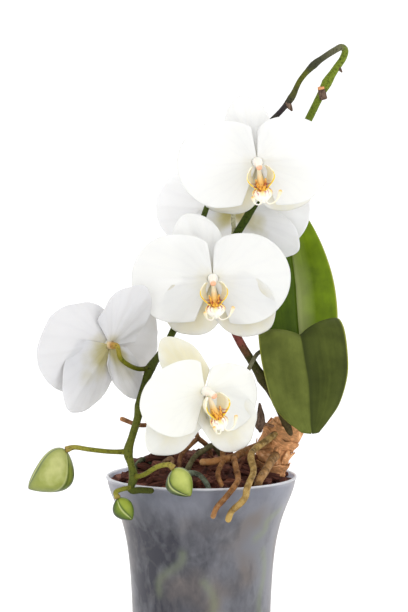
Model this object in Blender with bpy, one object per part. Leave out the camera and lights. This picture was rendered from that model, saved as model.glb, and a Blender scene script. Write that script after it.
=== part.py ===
"""A white moth orchid in a frosted plastic pot of potting bark.

Metres, +Z up, -Y towards the front. The origin is the centre of the pot's base. Places and sizes
are written in millimetres and turned to metres by MM. One object is made for each physical piece.
"""
import math
import random
from typing import NamedTuple

import bmesh
import bpy
from mathutils import Matrix, Vector

MM = 0.001
GAP = 0.35                 # clearance between pieces that touch

# Pot
POT_HEIGHT = 125.0
POT_FOOT = 42.0            # outer radius that the wall tends to at the base
POT_FLARE = 17.2           # how much wider the wall is at the rim
POT_REACH = 27.0           # depth over which the flare dies away
POT_WALL = 1.2
POT_FLOOR = 1.8
LIP_OUT = 0.7              # how far the rolled lip stands out of the wall
LIP_HEIGHT = 2.4
POT_SIDES = 28
WALL_STEPS = 6

# Bark
BARK_EDGE = 121.0          # height of the bark at the wall
BARK_RISE = 15.0           # how much higher the middle is
CHIP_COUNT = 22
CHIP_SEED = 11

# Stems and roots
SPIKE_SIDES = 7
STALK_SIDES = 5
ROOT_SIDES = 6
SIDEWAYS = (0.36, 0.48, -0.8)   # no stem runs this way; the first side of a tube is square to it
STALK_RADIUS = 1.45
SPIKE_NODE_SWELL = 0.32    # how much a node ring is fatter than the spike, in parts of its radius
SPIKE_NODE_LENGTH = 5.0

# Blooms
TEPAL_THICKNESS = 0.8
TEPAL_BASE = 0.07          # where a tepal starts, in parts of its length
TEPAL_SHOULDER = 0.35      # how square a tepal's lower half is: 1 is an ellipse, 0 a rectangle
HEART_DEPTH = 3.8          # how far the body in which the tepals join lies behind their plane
COLUMN_ROUTE = ((0, 0, -3.8), (0, 0, -1.6), (0, 0, 1.4), (0, -0.3, 3.6), (0, -0.9, 6.2), (0, -2.0, 9.0))
COLUMN_RADII = (2.2, 3.6, 3.6, 2.6, 2.2, 2.6)   # the heart, then the column up to its cap
COLUMN_SIDES = 8
LIP_THICKNESS = 0.7
CLAW_ROUTE = ((0, -3.55, 3.7), (0, -9, 5.4), (0, -14, 6.8), (0, -17, 8.6))   # the lip's foot and callus
CLAW_RADII = (1.2, 2.0, 3.3, 1.8)
TENDRIL_OUT = ((0.6, -21, 11.2), (3, -24.4, 12.2), (7.6, -23, 12.6), (10.6, -18, 12.2))
TENDRIL_IN = ((-0.6, -21, 11.2), (-2.6, -24, 12.4), (-5.4, -23, 13.2), (-6.4, -19.6, 13.4))
TENDRIL_RADII = (0.8, 0.7, 0.55, 0.4)

# Leaves
LEAF_THICKNESS = 1.7


class Tepal(NamedTuple):
    """A sepal or petal. Angles are in degrees; the plane is the bloom's own."""
    angle: float           # direction in the bloom's plane, anticlockwise from the right
    length: float
    width: float
    sweep: float           # how far it leans back from the plane
    cup: float = 0.15      # how far its sides come forward, in parts of its half width
    arch: float = 0.0      # how far its tip comes forward, in parts of its length
    twist: float = 0.0     # turn about its own midrib
    ruffle: float = 1.0    # height of the waves along its edge
    phase: float = 0.0     # where those waves start
    skew: float = 0.3      # how much wider it is towards its tip
    rise: float = -0.9     # how far its base lies in front of the heart's middle
    fan: tuple = (62, 62)  # degrees right and left of the midrib that it fills, seen from its base


class Bloom(NamedTuple):
    """An open flower. It is seen from the front: turn is to the right and nod is down."""
    centre: tuple
    turn: float
    nod: float
    roll: float            # turn of the column and lip in the bloom's plane
    faces: int             # 1 when it looks to the front, -1 when it looks to the back
    tepals: tuple


BLOOMS = (
    Bloom((34, -28, 320), 4, 10, 8, 1, (
        Tepal(105, 39.5, 28, 8, 0.10, 0.02, ruffle=0.6, skew=0.2),
        Tepal(-42, 46, 34, 12, 0.12, -0.18, twist=12, ruffle=0.8),
        Tepal(-126, 45, 34, 14, 0.12, -0.20, twist=-12, ruffle=0.8),
        Tepal(3, 48, 53, 3, 0.12, -0.04, 0, 1.2, 0.6, skew=-0.25, rise=0.9, fan=(62, 84)),
        Tepal(184, 49, 53, 3, 0.12, -0.04, 0, 1.2, 2.0, skew=-0.1, rise=0.9, fan=(76, 62)))),
    Bloom((20, 16, 291), 0, 0, 0, -1, (
        Tepal(95, 40, 29, 8, 0.10, 0.0, ruffle=0.8),
        Tepal(-32, 47, 28, 6, 0.14, 0.05, twist=-12, ruffle=1.0),
        Tepal(-140, 42, 28, 8, 0.14, 0.05, twist=12, ruffle=1.0),
        Tepal(2, 49, 52, 2, 0.12, -0.03, 0, 1.4, 1.1, skew=0.0, rise=0.9, fan=(62, 76)),
        Tepal(176, 49, 48, 2, 0.16, -0.03, 0, 2.2, 2.6, skew=0.1, rise=0.9, fan=(76, 62)))),
    Bloom((7, -25, 249), 0, 3, 5, 1, (
        Tepal(114, 41.5, 31, 8, 0.10, 0.04, ruffle=0.6, skew=0.2),
        Tepal(-42, 45.5, 37, 2, 0.12, -0.02, twist=8, ruffle=0.8, rise=-1.6),
        Tepal(-125, 39, 37, 4, 0.12, -0.02, twist=-8, ruffle=0.8),
        Tepal(0, 48, 55, 3, 0.10, -0.04, 0, 1.2, 0.2, skew=-0.2, rise=0.9, fan=(62, 84)),
        Tepal(180, 50, 54, 3, 0.12, -0.04, 0, 1.2, 1.5, skew=-0.1, rise=0.9, fan=(76, 62)))),
    Bloom((-56, -38, 209.3), 40, 4, 0, -1, (
        Tepal(64, 40, 33, 15, 0.22, 0.06, ruffle=0.6, skew=0.0),
        Tepal(-57, 38, 22, 9, 0.18, 0.02, twist=10, ruffle=0.8),
        Tepal(-133, 49, 37, 6, 0.30, 0.0, ruffle=0.8, skew=-0.3),
        Tepal(6, 46, 50, -3, 0.12, 0.16, 0, 1.2, 0.9, rise=0.9),
        Tepal(183, 54, 53, 1, 0.12, -0.03, 0, 1.4, 2.2, skew=-0.25, rise=0.9, fan=(80, 62)))),
    Bloom((2, -56, 183), 34, 2, 14, 1, (
        Tepal(119, 38.5, 26, 30, 0.14, 0.04, ruffle=0.6, skew=0.1),
        Tepal(-43, 49.5, 36, 6, 0.14, 0.05, twist=4, ruffle=1.0),
        Tepal(-131, 47, 34, 12, 0.12, 0.04, twist=-4, ruffle=1.0),
        Tepal(-14, 42, 40, 3, 0.10, -0.04, 0, 1.3, 0.4, skew=-0.1, rise=0.9, fan=(62, 84)),
        Tepal(190, 46, 44, 0, 0.16, 0.0, 0, 1.3, 1.8, skew=-0.2, rise=0.9, fan=(78, 58)))),
)

# The spike climbs on the right, turns sharply at its top and comes down on the left.
SPIKE_ROUTE = (
    (56, -1, 146), (54, -7, 155), (46, -6, 173), (38, -5, 186), (30, -5, 199), (24, -6, 209),
    (19, -6, 220), (16, -5, 233), (15, -5, 246), (17, -4, 261), (21, -4, 274), (28, -4, 286),
    (35, -3, 298), (43, 0, 311), (51, 2, 323), (59, 3, 335), (66, 3, 346), (73, 2, 360),
    (78, 0, 370), (83, -2, 378), (87.5, -3, 384.5), (89, -4.5, 389.5), (86.5, -6.5, 391.5), (82.5, -8, 389.5),
    (77, -10, 386), (69, -11, 380), (61, -11, 371), (56, -10, 361), (50, -8, 353), (43, -4, 346),
    (34, 0, 337), (24, 2, 326), (14, 2, 313), (6, 0, 299), (1, -2, 286), (-3, -3, 273),
    (-6, -4, 258), (-9, -6, 242), (-13, -9, 227), (-19, -14, 213), (-25, -21, 203),
    (-31, -28, 194.5), (-35, -33, 183), (-37, -37, 174), (-38.5, -41, 165), (-41.5, -45, 155),
    (-44, -48, 145.5), (-42, -51, 138), (-40.5, -54, 131), (-42, -57, 124), (-36, -59, 124), (-30, -61, 124))
# How far along the spike, and its radius there: it is thinnest just after its turn.
SPIKE_RADII = ((0.0, 2.7), (0.42, 2.35), (0.50, 1.65), (0.66, 1.75), (0.80, 2.2), (0.90, 2.4), (1.0, 1.9))
SPIKE_NODES = ((38, -5, 186), (17, -4, 261), (78, 0, 370), (69, -11, 380), (55, -10, 360),
               (24, 2, 326), (-3, -3, 273), (-9, -6, 242), (-31, -28, 194.5), (-37, -37, 172),
               (-44, -48, 145.5), (-40.5, -54, 131))

# Each flower stalk runs from the spike to the back of its bloom, which closes the route.
FLOWER_STALKS = (
    ((24, 2, 326), (30, -8, 325)),
    ((-3, -3, 272), (5, 4, 266), (16, 2, 268), (20, 3, 276), (20, 4, 284)),
    ((-9, -6, 242), (-2, -9, 246)),
    ((-31, -28, 194.5), (-37.4, -34, 194.3), (-43.3, -40, 196.8), (-48.6, -44.5, 201.8)),
    ((-37, -37, 174), (-28, -37, 178), (-16, -38, 181)))

# Each bud hangs from a stalk: the route, then the bud's tip, its radius and how far its middle
# bulges to one side.
BUDS = (
    (((-44, -48, 145.5), (-55, -49, 145.8), (-67, -50, 147.2), (-76, -49, 148.4), (-81.3, -48, 146.8)),
     (-104.3, -44, 122.5), 11.8, (3.6, 0, -3.2)),
    (((-40.5, -54, 131), (-34, -60, 133.5), (-26, -66, 139), (-19.5, -68, 140.5), (-16.3, -68, 138.5)),
     (-6.3, -70, 122), 8.2, (-1.2, 0, -0.8)),
    (((-42, -57, 125), (-46.6, -58, 124.6), (-51.0, -57.4, 122.6), (-50.0, -56.6, 119.2)),
     (-41.5, -54, 105.4), 6.2, (-0.6, 0, -0.6)),
)

# Dry bracts and the stumps of cut ones, on the spike: foot, tip, foot radius and what part of
# that radius is left at the tip.
BRACTS = (
    ((76, 0.5, 360), (74.2, -1.5, 367.5), 2.5, 0.85),
    ((84.5, -3, 380), (87.4, -2, 376.4), 1.5, 0.25),
    ((53, -9, 357), (56, -10.5, 352), 2.2, 0.25),
    ((-37, -37, 173), (-31.5, -40, 164), 2.4, 0.25),
    ((-31, -28, 195), (-34.5, -31, 191), 2.4, 0.25),
    ((38, -5, 185), (34, -7, 192), 2.6, 0.25),
)

# The corky stem: route and radii.
STEM_ROUTE = ((42, 2, 119), (43, 2, 126.5), (43.2, 2, 127.5), (44.5, 2, 135), (44.9, 2, 136),
              (47, 3, 143), (47.4, 3, 144), (51.5, 3, 151.5), (54, 3, 155.5), (54.5, 3, 160))
STEM_RADII = (8.0, 9.4, 8.4, 10.3, 9.3, 11.2, 10.2, 11.0, 9.8, 8.8)   # each step is a dry sheath's rim
STEM_SIDES = 12

# Roots: route and radius. Side roots of one piece are routes of their own.
ROOTS = {
    "root_forked": (
        (((49, 0, 143), (43, -6, 144.5), (34, -12, 144), (26, -21, 142), (20, -29, 140),
          (13, -34, 139), (6, -37, 138), (1, -38, 138)), 2.6),
        (((20, -29, 140), (20, -35, 139), (21, -43, 135), (22, -52, 130), (21, -60, 128.5),
          (18, -65.5, 125), (13, -65, 119), (9, -63, 114), (7, -62, 109)), 1.9),
        (((14, -33, 139), (11, -41, 135), (10, -47, 131), (12, -51, 126)), 1.7),
        (((13, -27, 147), (13, -34, 139)), 1.8)),
    "root_hanging": (
        (((51, -1, 150), (46, -7, 151), (40, -14, 148), (34, -23, 145), (31, -31, 143),
          (30, -41, 140.5), (31, -50, 137), (31, -56, 134), (29, -61, 130), (27, -66, 126),
          (26, -66, 121), (23, -65, 117), (18, -63, 112), (16, -62, 107)), 2.2),),
    "root_thick": (
        (((47, -1, 136), (46, -9, 138), (43, -20, 136), (39, -33, 132), (35, -41, 127),
          (33, -41, 118)), 2.9),),
    "root_brown": (
        (((41, 3, 131), (34, -2, 136), (29, -9, 138), (25, -15, 136), (22, -18, 130)), 1.9),),
    "root_rambling": (
        (((7, -12, 134), (4, -13, 144), (-2, -15, 150), (-5, -15, 156), (-13, -13, 160),
          (-25, -14, 159), (-38, -16, 158), (-49, -18, 162)), 1.6),
        (((-2, -15, 150), (-9, -21, 144), (-13, -26, 139), (-13, -30, 131)), 1.5)),
    "root_olive": (
        (((16, -9, 132), (8, -17, 145), (1, -24, 143), (-5, -31, 139), (-11, -38, 128)), 1.9),),
    "root_silver": (
        (((-15, -43, 126), (-9, -46, 132), (-2, -49, 132), (3, -51, 127), (6, -51, 119)), 1.8),),
    "root_curl": (
        (((-42, -11, 124), (-41, -10, 131), (-37, -8, 135.5), (-32, -6, 134), (-29, -5, 126)), 1.5),),
    "root_tan": (
        (((-27, -20, 130), (-22, -21, 136.5), (-18, -21, 137.5), (-19, -24, 131)), 1.5),),
    "root_aerial": (
        (((61, -2, 153), (61.5, -11, 158), (57, -15, 170), (50, -11, 187), (45, -8, 199),
          (40, -8, 203), (35, -9.5, 202), (30, -13, 194), (27, -15, 187)), 1.5),),
}
ROOT_COLOURS = {
    "root_forked": "8A6A3C", "root_hanging": "9C8746", "root_thick": "8D7145",
    "root_brown": "7A4A33", "root_rambling": "8A5F3E", "root_olive": "5E5A3C",
    "root_silver": "8E9A86", "root_curl": "7C8A6C", "root_tan": "957355", "root_aerial": "6B6A52"}

# Roots pressed against the inside of the wall: angle round the pot and height, start and end.
INNER_ROOTS = (
    (-88.0, 66.0, -72.0, 24.0), (-47.0, 92.0, -28.0, 108.0), (-36.0, 82.0, -30.0, 30.0),
    (-104.0, 84.0, -128.0, 58.0))
INNER_ROOT_RADIUS = 1.9
INNER_ROOT_STEPS = 7

# A dried bud remains on a thin brown stalk beside the stem.
DEAD_STALK = ((50, 0, 155), (45, -5, 156), (40, -10, 158), (37, -13.5, 159))
DEAD_HEAD = ((36.5, -13.5, 154), (36, -14, 159), (36.5, -14, 164), (36, -14, 171))
DEAD_HEAD_RADII = (1.0, 3.4, 2.2, 0.7)

# Leaves: along the midrib, each station is a point and the ends of the two halves.
LEAF_UPPER = (
    # midrib           left edge          right edge
    ((56, 8.5, 160.8), (49, 5.2, 161), (62.5, 5.6, 161)),
    ((59, 9.5, 172), (47, 5, 173), (71, 5.5, 174)),
    ((61, 12, 190), (43, 6, 191), (79, 6, 192)),
    ((62, 15, 208), (39, 9, 207), (85, 8, 209)),
    ((61, 19, 226), (36, 14, 225), (86, 11, 227)),
    ((60, 24, 244), (35, 20, 243), (84, 17, 246)),
    ((58, 30, 262), (36, 27, 261), (79, 24, 264)),
    ((57, 36, 279), (40, 34, 278), (72, 32, 280)),
    ((56, 41, 291), (46, 40, 290), (65, 39, 291)),
    ((55, 44, 298), (52, 44, 297), (59, 43.5, 297)),
)
LEAF_LOWER = (
    ((56, -3, 160.8), (49.5, -0.2, 161), (62, 0.2, 161)),
    ((59, -3, 172), (50, 0, 172), (69, 0.5, 173)),
    ((60, -4, 188), (44, -1, 189), (75, 0, 190)),
    ((61, -5, 203), (38, -1, 205), (82, 0, 210)),
    ((61.5, -8, 211.5), (36, -5, 214), (84.5, -4, 223)),
    ((62, -13, 209), (35.5, -10, 212), (88, -11, 219)),
    ((63.5, -18, 198), (37, -14, 199), (90, -16, 206)),
    ((65.5, -23, 185), (40, -18, 185), (90, -20, 190)),
    ((66, -28, 171.5), (44.5, -23, 170.5), (85, -24, 173)),
    ((66.5, -30, 161.5), (52.5, -27, 161.5), (77.5, -28, 162)),
    ((67, -31, 156.5), (60, -30, 156), (72.5, -30, 156)),
)
LEAF_COLUMNS = 6


# ---------------------------------------------------------------- helpers

def mm(point):
    """A point in millimetres as a vector in metres."""
    return Vector(point) * MM


def flare(depth):
    """Outer radius of the pot's wall at a depth below the rim, both in millimetres."""
    return POT_FOOT + POT_FLARE / (1.0 + (depth / POT_REACH) ** 2)


def linear(colour):
    """An sRGB hex colour as linear RGBA."""
    channels = [int(colour[i:i + 2], 16) / 255.0 for i in (0, 2, 4)]
    low, high = 12.92, lambda c: ((c + 0.055) / 1.055) ** 2.4
    return [c / low if c <= 0.04045 else high(c) for c in channels] + [1.0]


def material(name, colour, roughness=0.6, transmission=0.0):
    """A Principled material of one colour."""
    made = bpy.data.materials.new(name)
    made.use_nodes = True
    shader = made.node_tree.nodes["Principled BSDF"]
    shader.inputs["Base Color"].default_value = linear(colour)
    shader.inputs["Roughness"].default_value = roughness
    shader.inputs["Transmission Weight"].default_value = transmission
    return made


def new_object(name, mesh_data, finish=None, smooth=True):
    """An object in the scene from a bmesh, which is freed."""
    bmesh.ops.recalc_face_normals(mesh_data, faces=mesh_data.faces)
    mesh = bpy.data.meshes.new(name)
    mesh_data.to_mesh(mesh)
    mesh_data.free()
    if smooth:
        mesh.shade_smooth()
    made = bpy.data.objects.new(name, mesh)
    bpy.context.collection.objects.link(made)
    if finish:
        mesh.materials.append(finish)
    return made


def apply_modifiers(target):
    """Replace an object's mesh by its evaluated one."""
    evaluated = target.evaluated_get(bpy.context.evaluated_depsgraph_get())
    mesh = bpy.data.meshes.new_from_object(evaluated)
    target.modifiers.clear()
    target.data = mesh
    return target


def boolean(target, others, operation, solver="EXACT"):
    """Join the others to the target, or cut them out of it, in one step, and remove them."""
    group = bpy.data.collections.new("operands")
    bpy.context.scene.collection.children.link(group)
    for other in others:
        bpy.context.collection.objects.unlink(other)
        group.objects.link(other)
    step = target.modifiers.new("join", "BOOLEAN")
    step.operation = operation
    step.operand_type = "COLLECTION"
    step.collection = group
    step.solver = solver
    apply_modifiers(target)
    for other in others:
        bpy.data.objects.remove(other)
    bpy.data.collections.remove(group)
    return target


def smooth_route(points, spacing):
    """Points along a Catmull-Rom curve through the given ones, about a spacing apart."""
    knots = [Vector(p) for p in points]
    knots = [knots[0] * 2 - knots[1]] + knots + [knots[-1] * 2 - knots[-2]]
    route = []
    for before, start, end, after in zip(knots, knots[1:], knots[2:], knots[3:]):
        steps = max(1, round((end - start).length / spacing))
        for step in range(steps):
            t = step / steps
            route.append(0.5 * (2 * start + (end - before) * t
                                + (2 * before - 5 * start + 4 * end - after) * t ** 2
                                + (3 * start - before - 3 * end + after) * t ** 3))
    return route + [knots[-2]]


def ring_frames(route):
    """For each point of a route, two unit vectors across it that turn as little as possible."""
    tangents = [(b - a).normalized() for a, b in zip(route, route[1:])]
    tangents = ([tangents[0]] + [(a + b).normalized() for a, b in zip(tangents, tangents[1:])]
                + [tangents[-1]])
    side = tangents[0].cross(Vector(SIDEWAYS))
    frames = []
    for tangent in tangents:
        side = (side - tangent * side.dot(tangent)).normalized()
        frames.append((side, tangent.cross(side)))
    return frames


def tube_mesh(route, radii, sides):
    """A closed tube of given radii along a route, in millimetres."""
    mesh = bmesh.new()
    rings = []
    for point, radius, (side, up) in zip(route, radii, ring_frames(route)):
        turns = [2 * math.pi * i / sides for i in range(sides)]
        rings.append([mesh.verts.new((point + (side * math.cos(a) + up * math.sin(a)) * radius) * MM)
                      for a in turns])
    for low, high in zip(rings, rings[1:]):
        for i in range(sides):
            j = (i + 1) % sides
            mesh.faces.new((low[i], low[j], high[j], high[i]))
    mesh.faces.new(rings[0])
    mesh.faces.new(rings[-1])
    return mesh


def tube(name, points, radius, sides, finish=None, spacing=8.0, tip=1.0, grow=0.0):
    """A round stem along a smooth route. It narrows evenly to tip times its radius; grow fattens
    it and lengthens both its ends, for cutting the hole that it stands in."""
    route = smooth_route(points, spacing)
    if grow:
        route[0] = route[0] + (route[0] - route[1]).normalized() * grow
        route[-1] = route[-1] + (route[-1] - route[-2]).normalized() * grow
    last = len(route) - 1
    radii = [radius * (1 + (tip - 1) * i / last) + grow for i in range(last + 1)]
    return new_object(name, tube_mesh(route, radii, sides), finish)


def turned(name, profile, sides, finish=None):
    """A solid turned about Z from a profile of (radius, height) whose ends lie on the axis."""
    mesh = bmesh.new()
    poles = [mesh.verts.new((0, 0, z * MM)) for _, z in (profile[0], profile[-1])]
    rings = []
    for radius, z in profile[1:-1]:
        turns = [2 * math.pi * i / sides for i in range(sides)]
        rings.append([mesh.verts.new((radius * math.cos(a) * MM, radius * math.sin(a) * MM, z * MM))
                      for a in turns])
    for i in range(sides):
        j = (i + 1) % sides
        mesh.faces.new((poles[0], rings[0][j], rings[0][i]))
        mesh.faces.new((poles[1], rings[-1][i], rings[-1][j]))
        for low, high in zip(rings, rings[1:]):
            mesh.faces.new((low[i], low[j], high[j], high[i]))
    return new_object(name, mesh, finish)


def sheet(name, rows, thickness, finish=None, flip=False):
    """A thin solid on a grid of points in millimetres, triangles alike on both of its faces."""
    mesh = bmesh.new()
    grid = [[mesh.verts.new(Vector(p) * MM) for p in row] for row in rows]
    for low, high in zip(grid, grid[1:]):
        for a, b, c, d in zip(low, low[1:], high[1:], high):
            corners = ((a, b, c), (a, c, d))
            for corner in corners:
                mesh.faces.new(tuple(reversed(corner)) if flip else corner)
    plain = bpy.data.meshes.new(name)
    mesh.to_mesh(plain)
    mesh.free()
    plain.shade_smooth()
    made = bpy.data.objects.new(name, plain)
    bpy.context.collection.objects.link(made)
    if finish:
        plain.materials.append(finish)
    skin = made.modifiers.new("thickness", "SOLIDIFY")
    skin.thickness = thickness * MM
    skin.offset = 0.0
    skin.use_quality_normals = True
    return apply_modifiers(made)


# ---------------------------------------------------------------- pot and bark

def wall_profile(inset, steps):
    """Radius and height down the pot's wall, from the bark's edge to the floor, a distance inside
    its outer face. The steps are short where the wall curves most."""
    reach = BARK_EDGE - POT_FLOOR
    heights = [BARK_EDGE - reach * (i / steps) ** 1.5 for i in range(steps + 1)]
    return [(flare(POT_HEIGHT - z) - inset, z) for z in heights]


def make_pot():
    """A flared pot with a rolled lip, a flat floor and a rounded bottom edge."""
    lip = POT_HEIGHT - LIP_HEIGHT
    rim = flare(0.0) + LIP_OUT
    outside = [(flare(LIP_HEIGHT), lip)] + wall_profile(0.0, WALL_STEPS)
    outside.reverse()
    profile = [(0.0, 0.0), (flare(POT_HEIGHT) - 1.8, 0.0)] + outside
    profile += [(rim - 0.2, lip + 0.1), (rim, lip + 1.0), (rim - 0.4, POT_HEIGHT)]
    profile += [(flare(1.0) - POT_WALL + 0.2, POT_HEIGHT - 0.2)]
    profile += wall_profile(POT_WALL, WALL_STEPS)
    profile += [(0.0, POT_FLOOR)]
    return turned("pot", profile, POT_SIDES, material("frosted_polypropylene", "9C9EA9", 0.45, 0.6))


def bark_top(radius):
    """Height of the bark's surface at a distance from the pot's axis."""
    return BARK_EDGE + BARK_RISE * (1.0 - (radius / flare(0.0)) ** 2)


def bark_chip(index, draw):
    """One bark chip: a bent block of random size, sunk in the surface."""
    length, width, thickness = draw.uniform(9, 17), draw.uniform(6, 11), draw.uniform(3.5, 6)
    reach = draw.uniform(0, 1) ** 0.5 * (flare(2.0) - POT_WALL - 1.5 - length / 2)
    angle = draw.uniform(0, 2 * math.pi)
    mesh = bmesh.new()
    bmesh.ops.create_cube(mesh, size=1.0)
    for vertex in mesh.verts:
        vertex.co.x += draw.uniform(-0.12, 0.12)
        vertex.co.y += draw.uniform(-0.14, 0.14)
        vertex.co = Vector((vertex.co.x * length, vertex.co.y * width, vertex.co.z * thickness))
    place = Vector((reach * math.cos(angle), reach * math.sin(angle), bark_top(reach) + 0.4))
    tilt = Matrix.Rotation(math.radians(draw.uniform(-32, 32)), 4, (1, 0, 0))
    lean = Matrix.Rotation(math.radians(draw.uniform(-22, 22)), 4, (0, 1, 0))
    spin = Matrix.Rotation(draw.uniform(0, 2 * math.pi), 4, (0, 0, 1))
    bmesh.ops.transform(mesh, matrix=Matrix.Translation(place) @ spin @ lean @ tilt, verts=mesh.verts)
    bmesh.ops.scale(mesh, vec=(MM, MM, MM), verts=mesh.verts)
    return new_object(f"chip_{index}", mesh, smooth=False)


def make_bark():
    """The filling of bark: it fits the pot, is highest in its middle and is rough with chips."""
    side = wall_profile(POT_WALL + GAP, WALL_STEPS)
    side[-1] = (side[-1][0], POT_FLOOR + GAP)
    side.reverse()
    top = [(r, bark_top(r)) for r in (44.0, 28.0, 14.0)]
    profile = [(0.0, POT_FLOOR + GAP)] + side + top + [(0.0, bark_top(0.0))]
    bark = turned("bark", profile, POT_SIDES, material("pine_bark", "5A3A34", 0.9))
    draw = random.Random(CHIP_SEED)
    chips = [bark_chip(i, draw) for i in range(CHIP_COUNT)]
    return boolean(bark, chips, "UNION")


# ---------------------------------------------------------------- stems, roots and leaves

def make_stem():
    """The corky stem with the rims of dry sheaths round it."""
    finish = material("corky_stem", "A5703F", 0.85)
    route = [Vector(p) for p in STEM_ROUTE]
    return new_object("stem_base", tube_mesh(route, STEM_RADII, STEM_SIDES), finish)


def spike_radius(point, share):
    """Radius of the spike: it thins towards its tip and swells at each node."""
    steps = zip(SPIKE_RADII, SPIKE_RADII[1:])
    (start, wide), (end, narrow) = next(pair for pair in steps if share <= pair[1][0])
    radius = wide + (narrow - wide) * (share - start) / (end - start)
    nearest = min((point - Vector(node)).length for node in SPIKE_NODES)
    return radius * (1 + SPIKE_NODE_SWELL * math.exp(-(nearest / SPIKE_NODE_LENGTH) ** 2))


def spike_tube(name, finish=None, grow=0.0):
    """The main stem of the spike."""
    route = smooth_route(SPIKE_ROUTE, 9.0)
    if grow:
        route[0] = route[0] + (route[0] - route[1]).normalized() * grow
    last = len(route) - 1
    radii = [spike_radius(p, i / last) + grow for i, p in enumerate(route)]
    return new_object(name, tube_mesh(route, radii, SPIKE_SIDES), finish)


def bract(index, foot, tip, radius, left):
    """A small dry scale that leaves the spike at a node, or the stump of a cut one."""
    route = [Vector(foot), Vector(foot).lerp(Vector(tip), 0.55), Vector(tip)]
    radii = (radius, radius * (0.7 + 0.3 * left), radius * left)
    return new_object(f"bract_{index}", tube_mesh(route, radii, 5))


def make_spike():
    """The flower spike with the stalks of its blooms and buds and its bracts, grown as one."""
    spike = spike_tube("flower_spike", material("spike_green", "6E8A2E", 0.5))
    stalks = []
    for index, (route, bloom) in enumerate(zip(FLOWER_STALKS, BLOOMS)):
        route += stalk_end(bloom)
        stalks.append(tube(f"stalk_{index}", route, STALK_RADIUS, STALK_SIDES, spacing=11.0))
    for index, (route, *_) in enumerate(BUDS):
        stalks.append(tube(f"bud_stalk_{index}", route, STALK_RADIUS, STALK_SIDES, spacing=11.0))
    bracts = [bract(i, *values) for i, values in enumerate(BRACTS)]
    return boolean(spike, stalks + bracts, "UNION")


def make_bud(index, route, tip, radius, bulge):
    """A closed bud: an egg with three low keels, pointed at its tip and fuller on one side."""
    start, tip = Vector(route[-1]), Vector(tip)
    axis = (tip - start).normalized()
    start = start + axis * GAP
    side = axis.orthogonal().normalized()
    up = axis.cross(side)
    length = (tip - start).length
    rings, sides = 7, 9
    mesh = bmesh.new()
    poles = [mesh.verts.new(p * MM) for p in (start, tip)]
    loops = []
    for ring in range(1, rings + 1):
        t = ring / (rings + 1)
        swell = math.sin(math.pi * t ** 0.8) ** 0.75
        loop = []
        for i in range(sides):
            turn = 2 * math.pi * i / sides
            reach = radius * swell * (1 + 0.07 * math.cos(3 * turn))
            across = side * math.cos(turn) + up * math.sin(turn)
            centre = start + axis * (length * t) + Vector(bulge) * math.sin(math.pi * t)
            loop.append(mesh.verts.new((centre + across * reach) * MM))
        loops.append(loop)
    for i in range(sides):
        j = (i + 1) % sides
        mesh.faces.new((poles[0], loops[0][j], loops[0][i]))
        mesh.faces.new((poles[1], loops[-1][i], loops[-1][j]))
        for low, high in zip(loops, loops[1:]):
            mesh.faces.new((low[i], low[j], high[j], high[i]))
    return new_object(f"bud_{index + 1}", mesh, material(f"bud_green_{index + 1}", "A9BC5C", 0.5))


def root_tubes(name, finish=None, grow=0.0):
    """The main root and the side roots of one piece."""
    return [tube(name if i == 0 else f"{name}_{i}", route, radius, ROOT_SIDES, finish, 7.0, 0.85, grow)
            for i, (route, radius) in enumerate(ROOTS[name])]


def make_root(name):
    """One aerial root with its side roots."""
    finish = material(f"{name}_skin", ROOT_COLOURS[name], 0.8)
    main, *others = root_tubes(name, finish)
    return boolean(main, others, "UNION") if others else main


def inner_root_route(values):
    """A route against the inside of the pot's wall."""
    angle_a, height_a, angle_b, height_b = values
    route = []
    for step in range(INNER_ROOT_STEPS):
        t = step / (INNER_ROOT_STEPS - 1)
        angle = math.radians(angle_a + (angle_b - angle_a) * t + 4 * math.sin(7 * t))
        height = height_a + (height_b - height_a) * t
        reach = (flare(POT_HEIGHT - height) - POT_WALL - GAP) * math.cos(math.pi / POT_SIDES)
        reach -= INNER_ROOT_RADIUS
        route.append((reach * math.cos(angle), reach * math.sin(angle), height))
    return tuple(route)


def make_inner_root(index, values):
    """One root that grows down the inside of the wall."""
    finish = material(f"inner_root_skin_{index + 1}", "8FA06A", 0.7)
    return tube(f"inner_root_{index + 1}", inner_root_route(values), INNER_ROOT_RADIUS, ROOT_SIDES, finish)


def make_dead_bud():
    """A dried bud on its thin brown stalk."""
    finish = material("dried_husk", "5B4A3E", 0.9)
    stalk = tube("dead_bud", DEAD_STALK, 1.0, 5, finish, 6.0)
    head = new_object("head", tube_mesh([Vector(p) for p in DEAD_HEAD], DEAD_HEAD_RADII, 6))
    return boolean(stalk, [head], "UNION")


def make_leaf(name, stations, finish):
    """A thick leaf through its stations, with a crease along its midrib."""
    rows = []
    midribs = smooth_route([s[0] for s in stations], 1000.0)
    for midrib, (_, left, right) in zip(midribs, stations):
        half = LEAF_COLUMNS // 2
        row = [midrib.lerp(Vector(left), 1 - i / half) for i in range(half)] + [midrib]
        row += [midrib.lerp(Vector(right), (i + 1) / half) for i in range(half)]
        rows.append(row)
    return sheet(name, rows, LEAF_THICKNESS, finish)


# ---------------------------------------------------------------- blooms

def bloom_frame(bloom):
    """The bloom's own axes: right, up and the way its face looks."""
    turn = Matrix.Rotation(math.radians(bloom.turn), 3, "Z")
    right = turn @ Vector((1, 0, 0))
    out = turn @ Vector((0, -1, 0))
    nod = math.radians(bloom.nod)
    up = Vector((0, 0, 1)) * math.cos(nod) + out * math.sin(nod)
    out = out * math.cos(nod) - Vector((0, 0, 1)) * math.sin(nod)
    return right, up, out * bloom.faces


def placed(bloom, point):
    """A point of the bloom's own frame, in millimetres, in the plant's."""
    right, up, face = bloom_frame(bloom)
    return Vector(bloom.centre) + right * point[0] + up * point[1] + face * point[2]


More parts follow.
